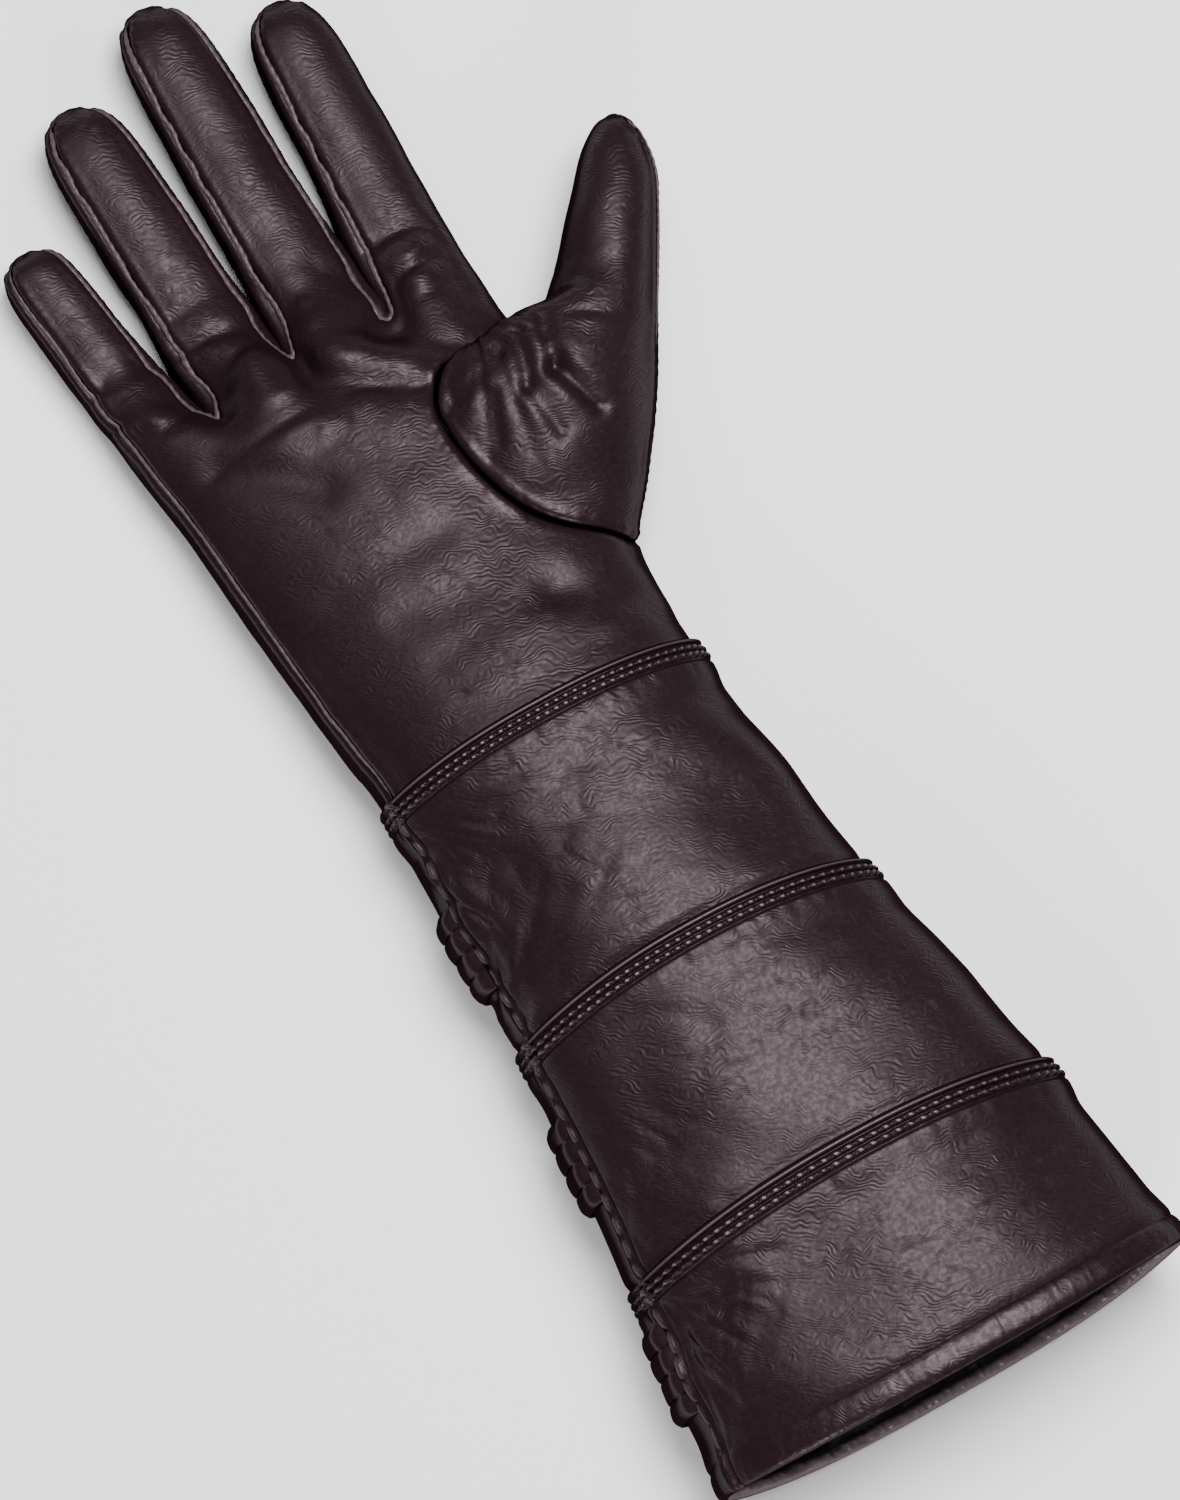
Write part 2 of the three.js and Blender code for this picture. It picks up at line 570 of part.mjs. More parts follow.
// A finger's rings from its root to its tip, closed by four faces round the tip.
function addFinger(net, finger, root, pieces) {
  const start = mean([net.points[root[1]], net.points[root[5]]]);
  const width = PALM_WIDTH * finger.width - FINGER_GAP;
  const height = FINGER_HEIGHT * finger.height;
  const axis = new THREE.Vector3(Math.sin(rad(finger.splay)), Math.cos(rad(finger.splay)), 0);
  const across = new THREE.Vector3(axis.y, -axis.x, 0);
  const up = new THREE.Vector3(0, 0, 1);
  const roll = rad(FINGER_ROLL);
  const centreAt = (share, halfHeight) => {
    const point = start.clone().addScaledVector(axis, finger.length * share);
    point.z = mix(height / 2, halfHeight, 0.5) + FINGER_LIFT * share * share;
    return point;
  };
  let below = root;
  for (const ring of FINGER_RINGS) {
    const halfWidth = (width * ring.width) / 2;
    const halfHeight = (height * ring.height) / 2;
    const centre = centreAt(ring.share, halfHeight);
    const points = FINGER_SECTION.map((s) => {
      const x = s.across * halfWidth;
      const z = s.up * halfHeight;
      return net.add(
        centre
          .clone()
          .addScaledVector(across, x * Math.cos(roll) + z * Math.sin(roll))
          .addScaledVector(up, z * Math.cos(roll) - x * Math.sin(roll)),
      );
    });
    points.forEach((p, k) => {
      const next = (k + 1) % points.length;
      net.face(pieces[k], below[k], below[next], points[next], p);
    });
    below = points;
  }
  const tip = net.add(centreAt(1, height / 4));
  const [a, b, c, d, e, f, g, h] = below;
  net.face("palm", a, b, tip, h);
  net.face("palm", b, c, d, tip);
  net.face("back", d, e, f, tip);
  net.face("back", f, g, h, tip);
}

// The thumb's net, from the rim of its hole in the palm, over the ball of the thumb, to its tip.
function thumbNet(rim) {
  const net = new Net();
  const s = station(PALM_LENGTH * THUMB_ROOT.along);
  const axis = new THREE.Vector3(Math.sin(rad(THUMB_ANGLE)), Math.cos(rad(THUMB_ANGLE)), 0);
  const across = new THREE.Vector3(axis.y, -axis.x, 0);
  const start = new THREE.Vector3(
    s.centre + (s.width / 2) * THUMB_ROOT.across,
    PALM_LENGTH * THUMB_ROOT.along,
    KNUCKLE_HEIGHT * THUMB_ROOT.up,
  );
  const ringPoints = (ring) => {
    const centre = start
      .clone()
      .addScaledVector(axis, THUMB_LENGTH * ring.share)
      .addScaledVector(across, THUMB_WIDTH * ring.shift);
    return THUMB_ANGLES.map((degrees) => {
      const side = Math.cos(rad(degrees));
      const rise = Math.sin(rad(degrees));
      return centre
        .clone()
        .addScaledVector(across, (side * THUMB_WIDTH * ring.width) / 2)
        .add(new THREE.Vector3(0, 0, (rise * THUMB_HEIGHT * ring.height) / 2));
    });
  };
  const first = ringPoints(THUMB_RINGS[0]);
  const ball = BALL_ROWS.map((share) =>
    rim.map((p, k) => {
      const swell = THUMB_BULGE * 4 * share * (1 - share);
      const up = Math.max(Math.sin(rad(THUMB_ANGLES[k])), 0);
      const out = Math.max(Math.cos(rad(THUMB_ANGLES[k])), 0);
      const point = p.clone().lerp(first[k], share);
      point.z += swell * up;
      return point.addScaledVector(across, swell * THUMB_SIDE_BULGE * out);
    }),
  );
  const rings = [rim, ...ball, first, ...THUMB_RINGS.slice(1).map(ringPoints)];
  const indices = rings.map((ring) => ring.map((p) => net.add(p.clone())));
  const n = rim.length;
  for (let r = 0; r + 1 < indices.length; r++)
    for (let k = 0; k < n; k++) {
      const next = (k + 1) % n;
      net.face("thumb", indices[r][k], indices[r][next], indices[r + 1][next], indices[r + 1][k]);
    }
  // The tip closes with pairs of the last ring's edges round one point.
  const last = indices[indices.length - 1];
  const tip = net.add(start.clone().addScaledVector(axis, THUMB_LENGTH));
  for (let k = 0; k < n; k += 2) net.face("thumb", last[k], last[k + 1], last[(k + 2) % n], tip);
  return net;
}

// A ring or strip round the gauntlet, as an outer and an inner face. The rows of each face run
// from the mouth towards the fingers and give y and the offset from the body's face. The two
// faces of an open strip may have different rows, and it has two end faces.
function sleeve(outerRows, innerRows, angles, closed) {
  const n = angles.length;
  const points = [];
  const faces = [outerRows, innerRows].map((rows) =>
    rows.map((row) => angles.map((a) => points.push(bodyPoint(row.y, a, row.offset)) - 1)),
  );
  const [outer, inner] = faces;
  const triangles = [];
  const quad = (a, b, c, d) => triangles.push([a, b, c], [a, c, d]);
  const lastOuter = outer.length - 1;
  const lastInner = inner.length - 1;
  for (let k = 0; k < (closed ? n : n - 1); k++) {
    const m = (k + 1) % n;
    for (let r = 0; r < lastOuter; r++)
      quad(outer[r][k], outer[r][m], outer[r + 1][m], outer[r + 1][k]);
    for (let r = 0; r < lastInner; r++)
      quad(inner[r][m], inner[r][k], inner[r + 1][k], inner[r + 1][m]);
    quad(inner[0][k], inner[0][m], outer[0][m], outer[0][k]);
    quad(outer[lastOuter][k], outer[lastOuter][m], inner[lastInner][m], inner[lastInner][k]);
  }
  // An end face fans out from the inner face's two corners to the outer face's rows.
  const half = Math.floor(lastOuter / 2);
  const end = (k, flip) => {
    const fan = [[inner[0][k], outer[half][k], inner[lastInner][k]]];
    for (let r = 0; r < lastOuter; r++)
      fan.push([r < half ? inner[0][k] : inner[lastInner][k], outer[r][k], outer[r + 1][k]]);
    for (const [a, b, c] of fan) triangles.push(flip ? [b, a, c] : [a, b, c]);
  };
  if (!closed) {
    end(0, false);
    end(n - 1, true);
  }
  return { points, triangles };
}

// Degrees round a section, anticlockwise seen from the fingertips' side: the hand's own columns
// with one more between each two, so that the facets of all layers lie on each other.
const ROUND = COLUMNS.flatMap((c, k) => {
  const next = k + 1 < COLUMNS.length ? COLUMNS[k + 1].angle : COLUMNS[0].angle - 360;
  return [c.angle, (c.angle + next) / 2];
});

// How far a panel stands off the body's face at y: it rises from its middle onto the lap.
function lapRise(top, bottom, y) {
  const middle = mix(bottom, top, 0.5);
  return LAP_RISE * THREE.MathUtils.clamp((y - middle) / (top - LAP - middle), 0, 1);
}

function panel(top, bottom) {
  const rows = [bottom, mix(bottom, top, 0.5), top - LAP, top];
  const wall = (inside) => rows.map((y) => ({ y, offset: lapRise(top, bottom, y) - inside }));
  const { points, triangles } = sleeve(wall(0), wall(LEATHER), ROUND, true);
  return solid(points, triangles);
}

// The lining lies inside the panels, with a row under each of theirs, and ends under the hand's
// lower edge.
function lining() {
  const rows = (offset) =>
    [
      HEM_SEAM + SEAM_GAP,
      mix(HEM_SEAM, LOWER_SEAM, 0.5),
      LOWER_SEAM - LAP,
      mix(LOWER_SEAM - LAP, UPPER_SEAM, 0.5),
      UPPER_SEAM - LAP,
      mix(UPPER_SEAM - LAP, 0, 0.5),
      -LAP - LAYER_GAP,
    ].map((y) => ({ y, offset }));
  const outside = -LEATHER - LINING_GAP;
  const angles = COLUMNS.map((c) => c.angle);
  const { points, triangles } = sleeve(rows(outside), rows(outside - LINING), angles, true);
  return solid(points, triangles);
}

// The rolled hem closes the leather and the lining at the mouth.
function hem() {
  const outer = LAP_RISE / 2;
  const inner = -LEATHER - LINING_GAP - LINING;
  const middle = (outer + inner) / 2;
  const reach = (outer - inner) / 2;
  const PROFILE = [
    { along: 0, round: 0.5 },
    { along: 0.3, round: 0.92 },
    { along: 1, round: 1 },
  ];
  const start = HEM_SEAM - HEM_LENGTH;
  const rows = (side) =>
    PROFILE.map((p) => ({
      y: start + (HEM_LENGTH - SEAM_GAP) * p.along,
      offset: middle + side * reach * p.round,
    }));
  const { points, triangles } = sleeve(rows(1), rows(-1), ROUND, true);
  return solid(points, triangles);
}

// A band lies across the gauntlet's back, from short of the thumb's side to the little finger's
// side seam; the two ends are in degrees round the gauntlet.
const BAND_START = -30;
const BAND_END = -200;
const BAND_ANGLES = ROUND.filter((a) => a <= BAND_START && a >= BAND_END);

// A padded band, sewn through into ribs. It is flattened where the glove rests on it.
function band(top, bottom, share) {
  const middle = mix(top, bottom, share);
  const base = (y) => lapRise(top, bottom, y) + LAYER_GAP;
  const outer = [];
  const steps = BAND_RIBS * 2;
  for (let r = 0; r <= steps; r++) {
    const y = middle + BAND_LENGTH * (r / steps - 0.5);
    const edge = r === 0 || r === steps;
    const rib = BAND_THICKNESS - (r % 2 === 0 ? RIB_DEPTH : 0);
    outer.push({ y, offset: base(y) + (edge ? BAND_THICKNESS / 2 : rib) });
  }
  const ends = [outer[0].y, outer[steps].y];
  const inner = ends.map((y) => ({ y, offset: base(y) }));
  const { points, triangles } = sleeve(outer, inner, BAND_ANGLES, false);
  for (const p of points) p.z = Math.max(p.z, 0);
  return solid(points, triangles);
}

const glove = new THREE.Group();
function place(name, geometry, color, roughness) {
  const material = new THREE.MeshStandardMaterial({ color, roughness, metalness: 0 });
  const mesh = new THREE.Mesh(geometry, material);
  mesh.name = name;
  glove.add(mesh);
}

const LEATHER_COLOUR = 0x2b1f22;
const LINING_COLOUR = 0x0e1214;
const LEATHER_ROUGHNESS = 0.42;
const LINING_ROUGHNESS = 0.9;

const { net: hand, holeRim } = handNet();
const rimPoints = holeRim.map((i) => hand.points[i].clone());
const thumb = thumbNet(rimPoints);
for (const net of [hand, thumb]) throughPoints(net);
const skins = [hand, thumb].map(smoothed);
for (const skin of skins) {
  const smooth = normals(skin);
  skin.points.forEach((p, i) => {
    const clear = THREE.MathUtils.smoothstep(p.y, 0, LAP); // the edge under the lap stays plain
    p.addScaledVector(smooth[i], -foldDepth(p) * clear * Math.max(smooth[i].z, 0));
    p.z = Math.max(p.z, 0);
  });
  const outward = normals(skin);
  for (const piece of new Set(skin.faces.map((f) => f.piece)))
    place(piece, leatherPiece(skin, outward, piece), LEATHER_COLOUR, LEATHER_ROUGHNESS);
}
place("gauntlet_upper", panel(0, UPPER_SEAM - LAP), LEATHER_COLOUR, LEATHER_ROUGHNESS);
place("gauntlet_middle", panel(UPPER_SEAM, LOWER_SEAM - LAP), LEATHER_COLOUR, LEATHER_ROUGHNESS);
place("gauntlet_lower", panel(LOWER_SEAM, HEM_SEAM), LEATHER_COLOUR, LEATHER_ROUGHNESS);
place("hem", hem(), LEATHER_COLOUR, LEATHER_ROUGHNESS);
place("lining", lining(), LINING_COLOUR, LINING_ROUGHNESS);
const BANDS = {
  band_upper: band(0, UPPER_SEAM - LAP, UPPER_BAND_PLACE),
  band_middle: band(UPPER_SEAM, LOWER_SEAM - LAP, MIDDLE_BAND_PLACE),
  band_lower: band(LOWER_SEAM, HEM_SEAM, LOWER_BAND_PLACE),
};
for (const [name, geometry] of Object.entries(BANDS))
  place(name, geometry, LEATHER_COLOUR, LEATHER_ROUGHNESS);

// The frame's origin is under the middle of the glove, on the table.
const box = new THREE.Box3().setFromObject(glove);
const middle = box.getCenter(new THREE.Vector3());
glove.position.set(-middle.x, -middle.y, -box.min.z);

export default glove;
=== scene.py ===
"""A right-hand leather gauntlet glove, lying palm up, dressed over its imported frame.

The hand is a net of four-sided faces, smoothed and cut along its seams into palm, back, fourchettes
and thumb. The cuff's panels, hem, lining and bands are grids of rows along the glove and columns
round it. Lengths are millimetres in the glove's own frame, with y = 0 at the wrist seam, until a
mesh is written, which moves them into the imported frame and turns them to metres.
"""

import itertools
import logging
import math
from dataclasses import dataclass, field
from enum import IntEnum
from functools import cached_property, partial
from typing import Callable, NamedTuple

import bpy
import numpy as np
from mathutils import Matrix, Vector

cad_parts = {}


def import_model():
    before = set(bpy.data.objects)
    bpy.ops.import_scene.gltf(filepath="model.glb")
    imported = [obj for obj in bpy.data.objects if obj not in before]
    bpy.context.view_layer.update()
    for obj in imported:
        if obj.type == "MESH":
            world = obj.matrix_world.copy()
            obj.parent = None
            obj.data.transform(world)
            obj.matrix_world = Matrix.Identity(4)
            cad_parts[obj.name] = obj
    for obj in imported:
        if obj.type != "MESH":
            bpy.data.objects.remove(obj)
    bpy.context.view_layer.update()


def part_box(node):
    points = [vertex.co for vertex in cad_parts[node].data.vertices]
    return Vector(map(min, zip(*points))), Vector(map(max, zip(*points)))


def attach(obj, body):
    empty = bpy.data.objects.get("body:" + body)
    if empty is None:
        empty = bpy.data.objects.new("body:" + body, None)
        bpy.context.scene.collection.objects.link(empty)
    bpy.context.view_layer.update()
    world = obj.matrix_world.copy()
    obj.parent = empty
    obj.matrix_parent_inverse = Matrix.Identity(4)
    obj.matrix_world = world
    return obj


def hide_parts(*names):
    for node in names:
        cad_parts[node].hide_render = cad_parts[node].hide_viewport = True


LOG = logging.getLogger("gauntlet")
METRES = 0.001  # metres in a millimetre
SQUARE = ((-1, -1), (1, -1), (1, 1), (-1, 1))
HASH_PRIMES = np.array([73856093, 19349663, 83492791])  # mix a lattice point's three numbers
HASH_SEED = 2654435
HASH_FACTOR = 1274126177
Array = np.ndarray
AddNode = Callable[..., bpy.types.Node]
UP = np.array([0.0, 0.0, 1.0])


def unit(vectors: Array) -> Array:
    """Vectors divided by their own length."""
    return vectors / np.maximum(np.linalg.norm(vectors, axis=-1, keepdims=True), 1e-12)


def ease(low: float, high: float, x: Array) -> Array:
    """0 below low, 1 above high, and the smooth step 3t^2 - 2t^3 between them."""
    t = np.clip((x - low) / (high - low), 0, 1)
    return t * t * (3 - 2 * t)


def between(x: Array, span: tuple[float, ...]) -> Array:
    """0 outside the span's two outer numbers, 1 between its two inner ones, and smooth steps."""
    low, full, still, high = span
    return ease(low, full, x) * ease(high, still, x)


def bell(x: Array, width: float) -> Array:
    """exp(-(x / width)^2): 1 at zero and almost nothing past twice the width."""
    return np.exp(-((x / width) ** 2))


def powered(x: Array, power: Array | float) -> Array:
    """The size of x to a power, with x's sign."""
    return np.sign(x) * np.abs(x) ** power


def turns(count: int) -> Array:
    """Angles in radians that go once round, the first at zero."""
    return np.linspace(0, 2 * math.pi, count + 1)[:-1]


def run_length(line: Array) -> Array:
    """The distance run along a line at each of its points."""
    return np.concatenate([[0], np.cumsum(np.linalg.norm(np.diff(line, axis=0), axis=1))])


def soft_noise(points: Array, wavelength: float, seed: int) -> Array:
    """Smooth noise from -1 to 1: hashed values on a cubic lattice, joined by smooth steps.

    Args:
        points: places in mm, an array whose last axis is x, y, z.
        wavelength: the lattice's spacing in mm.
        seed: another number gives another pattern.

    Returns:
        One value for each point.
    """
    cell = points / wavelength
    base = np.floor(cell).astype(np.int64)
    t = cell - base
    t = t * t * (3 - 2 * t)
    total = np.zeros(points.shape[:-1])
    for corner in itertools.product((0, 1), repeat=3):
        mixed = (base + corner) @ HASH_PRIMES + seed * HASH_SEED
        mixed = (mixed ^ (mixed >> 13)) * HASH_FACTOR % 2**32
        value = ((mixed ^ (mixed >> 16)) & 65535) / 32767.5 - 1
        total += value * np.prod(np.where(corner, t, 1 - t), axis=-1)
    return total


def fanned(points: Array, centre: Array, spread: float, wavelength: float, seed: int) -> Array:
    """Pleats that fan out from a place: soft hills with sharp valleys between them.

    The height is |noise| of a point's distance / 4 and its direction round the centre * spread.

    Args:
        points: places in mm.
        centre: x and y of the middle of the fan.
        spread: the distance at which the pleats are a wavelength apart.
        wavelength: the noise's spacing in mm.
        seed: the pattern.

    Returns:
        Heights from -0.45 to 0.55.
    """
    away = points[..., :2] - centre
    reach = np.linalg.norm(away, axis=-1)
    turn = np.arctan2(away[..., 1], away[..., 0])
    place = np.stack([reach / 4, turn * spread, points[..., 2] * 0.3], axis=-1)
    return np.minimum(1.6 * np.abs(soft_noise(place, wavelength, seed)), 1) - 0.45


def rows_of(kind: type, *rows: tuple) -> tuple:
    """Rows of a table, each made into one of a kind of named row."""
    return tuple(kind(*row) for row in rows)


class Section(NamedTuple):
    """A section of the cuff, as shares of the changes of size along it and of the two bows."""

    along: float
    flare: float
    drift: float
    rise: float
    floor: float
    mouth: float = 0.0
    seam: float = 0.0


class Dent(NamedTuple):
    """A soft dent: place and reach as shares of the cuff's length, direction in degrees."""

    along: float
    angle: float
    depth: float
    reach: float
    round: float


@dataclass(frozen=True)
class GloveForm:
    """The glove's driving sizes in mm and the plain form of its body, from mouth to knuckles."""

    leather: float = 1.2
    lining: float = 0.9
    layer_gap: float = 0.45
    lining_gap: float = 0.7
    lap: float = 8.0
    wrist_width: float = 86.0
    wrist_height: float = 44.0
    palm_width: float = 97.6
    knuckle_height: float = 27.0
    knuckle_drift: float = -5.7
    palm_length: float = 112.0
    mouth_width: float = 128.0
    mouth_height: float = 58.0
    mouth_drift: float = 9.4
    mouth_bow: float = 4.5
    mouth_palm_bow: float = 2.0
    seam_bow: float = 6.0
    upper_panel: float = 66.9
    middle_panel: float = 62.5
    lower_panel: float = 47.1
    hem_length: float = 6.0
    band_thickness: float = 2.4
    dent_depth: float = 1.5
    top_fullness: float = 2.25
    back_fullness: float = 3.0
    waist: float = 0.46
    dents: tuple[Dent, ...] = rows_of(
        Dent,
        (0.19, 128, 0.9, 0.10, 16),
        (0.22, 52, 0.7, 0.10, 18),
        (0.20, 88, -0.5, 0.12, 20),
        (0.53, 122, 1.0, 0.11, 15),
        (0.56, 60, 0.6, 0.10, 16),
        (0.83, 104, 1.0, 0.10, 14),
        (0.86, 42, 0.8, 0.10, 16),
    )
    palm_sections: tuple[Section, ...] = rows_of(
        Section,
        (0.17, 0.13, 0.16, 0.8, 0.1),
        (0.33, 0.41, 0.26, 0.66, -0.2),
        (0.54, 0.63, 0.39, 0.54, -0.2),
        (0.76, 0.81, 0.61, 0.34, -0.2),
        (0.9, 0.93, 0.85, 0.14, -0.2),
        (1.0, 1.0, 1.0, 0.0, -0.1),
    )

    @property
    def upper_seam(self) -> float:
        """Where the upper and middle panels meet."""
        return -self.upper_panel

    @property
    def lower_seam(self) -> float:
        """Where the middle and lower panels meet."""
        return self.upper_seam - self.middle_panel

    @property
    def hem_seam(self) -> float:
        """Where the hem begins."""
        return self.lower_seam - self.lower_panel

    @property
    def mouth_end(self) -> float:
        """Where the mouth's edge lies, before its bow."""
        return self.hem_seam - self.hem_length

    @property
    def lap_rise(self) -> float:
        """How far a lapping edge stands off the piece below it."""
        return self.leather + self.layer_gap

    @property
    def rest(self) -> float:
        """The height at which the bands hold the cuff's back off the table."""
        return self.lap_rise / 2 + self.layer_gap + self.band_thickness

    @cached_property
    def stations(self) -> Array:
        """Rows of y, width, centre, top, bottom, palm bow and back bow, from mouth to knuckles."""
        cuff = np.array(
            [
                Section(self.mouth_end, 1.0, 1.0, 1.0, 1, 1, 0),
                Section(self.lower_seam, 0.66, 0.88, 0.71, 1, 0.1, 1),
                Section(self.upper_seam, 0.22, 0.42, 0.39, 1, 0, 0.9),
                Section(self.upper_seam / 2, 0.1, 0.2, 0.2, 1, 0, 0.7),
                Section(0, 0, 0, 0, 0.75, 0, 0.5),
            ]
        )
        mouth = (1.0, self.mouth_width, self.mouth_drift, self.wrist_height, self.mouth_height)
        knuckles = (
            *(self.palm_length, self.palm_width, self.knuckle_drift),
            *(self.knuckle_height, self.wrist_height),
        )
        rows = []
        for sections, sizes in ((cuff, mouth), (np.array(self.palm_sections), knuckles)):
            length, wide, aside, low, high = sizes
            along, flare, drift, rise, floor, at_mouth, at_seam = sections.T
            columns = [
                length * along,
                self.wrist_width + (wide - self.wrist_width) * flare,
                aside * drift,
                low + (high - low) * rise,
                self.rest * floor,
                self.seam_bow * at_seam - self.mouth_palm_bow * at_mouth,
                -self.mouth_bow * at_mouth,
            ]
            rows.append(np.array(columns).T)
        return np.concatenate(rows)

    def station(self, along: Array) -> list[Array]:
        """Width, centre, top, bottom and the two bows at a place along the glove.

        Each runs on the cubic whose slope at a station is that between its two neighbours.

        Args:
            along: y in mm.

        Returns:
            Six arrays shaped like along.
        """
        rows = self.stations
        last = len(rows) - 1
        i = np.clip(np.searchsorted(rows[:, 0], along), 1, last)
        a, b, c, d = (rows[np.clip(k, 0, last)] for k in (i - 2, i - 1, i, i + 1))
        span = c[..., :1] - b[..., :1]
        t = (along[..., None] - b[..., :1]) / span
        slope_b = (c - a) / (c[..., :1] - a[..., :1]) * span
        slope_c = (d - b) / (d[..., :1] - b[..., :1]) * span
        found = b + (c - b) * t * t * (3 - 2 * t) + t * (1 - t) * ((1 - t) * slope_b - t * slope_c)
        return [found[..., k] for k in range(1, rows.shape[1])]

    def dent(self, along: Array, degrees: Array) -> Array:
        """How far the cuff's soft dents lie inside its plain form: a sum of round bells.

        Args:
            along: y in mm.
            degrees: the direction round the section.

        Returns:
            Depths in mm.
        """
        depth = [
            d.depth
            * bell(along / self.hem_seam - d.along, d.reach)
            * bell(degrees - d.angle, d.round)
            for d in self.dents
        ]
        return self.dent_depth * np.sum(depth, axis=0)

    def body(self, along: Array, degrees: Array, offset: Array | float = 0.0) -> Array:
        """Points of the glove's body, each section a superellipse about its waist.

        x is the section's centre plus half its width times cos^p, and z is the waist's height plus
        the reach to the top or the bottom times sin^p, with p two over the fullness there. y is
        bowed by sin^2. An offset is added to the half width and to the reach.

        Args:
            along: y in mm.
            degrees: the direction round the section, 0 at the thumb's side and 90 at the palm.
            offset: how far outside the plain form the point lies.

        Returns:
            An array of points shaped like the arguments, with x, y, z last.
        """
        along, degrees, offset = np.broadcast_arrays(
            np.asarray(along, float), np.asarray(degrees, float), np.asarray(offset, float)
        )
        outside = offset - self.dent(along, degrees)
        width, centre, top, bottom, palm_bow, back_bow = self.station(along)
        waist = np.maximum(bottom, 0) * (1 - self.waist) + top * self.waist
        c = np.cos(np.radians(degrees))
        s = np.sin(np.radians(degrees))
        over = s >= 0
        power = 2 / np.where(over, self.top_fullness, self.back_fullness)
        reach = np.where(over, top - waist, waist - bottom)
        x = centre + (width / 2 + outside) * powered(c, power)
        z = waist + (reach + outside) * powered(s, power)
        y = along + np.where(over, palm_bow, back_bow) * s * s
        return np.stack([x, y, z], axis=-1)

    def onto_body(self, points: Array, offset: float) -> Array:
        """Points moved onto the body's face, in the direction that they lie round its section.

        Args:
            points: n points near the body.
            offset: how far outside the plain form they end up.

        Returns:
            n points.
        """
        along = points[:, 1]
        for _ in range(3):
            width, centre, top, bottom, palm_bow, back_bow = self.station(along)
            waist = np.maximum(bottom, 0) * (1 - self.waist) + top * self.waist
            over = points[:, 2] >= waist
            power = np.where(over, self.top_fullness, self.back_fullness) / 2
            x = (points[:, 0] - centre) * 2 / width
            z = (points[:, 2] - waist) / np.where(over, top - waist, waist - bottom)
            turn = np.arctan2(powered(z, power), powered(x, power))
            along = points[:, 1] - np.where(over, palm_bow, back_bow) * np.sin(turn) ** 2
        return self.body(along, np.degrees(turn), offset)

    def round_angles(self, along: float, start: float, end: float, spacing: float) -> Array:
        """Directions round a section that lie evenly along its outline.

        Args:
            along: the section's y.
            start: first direction in degrees.
            end: last direction in degrees.
            spacing: the wanted distance between two points in mm.

        Returns:
            Directions from start to end, both among them.
        """
        fine = np.linspace(start, end, 4000)
        line = self.body(np.full_like(fine, along), fine)
        run = run_length(line)
        count = max(2, round(run[-1] / spacing) + 1)
        return np.interp(np.linspace(0, run[-1], count), run, fine)


class Part(IntEnum):
    """The pieces of leather that the hand is cut into."""

    PALM = 0
    BACK = 1
    FOURCHETTE_LITTLE = 2
    FOURCHETTE_RING = 3
    FOURCHETTE_MIDDLE = 4
    THUMB = 5


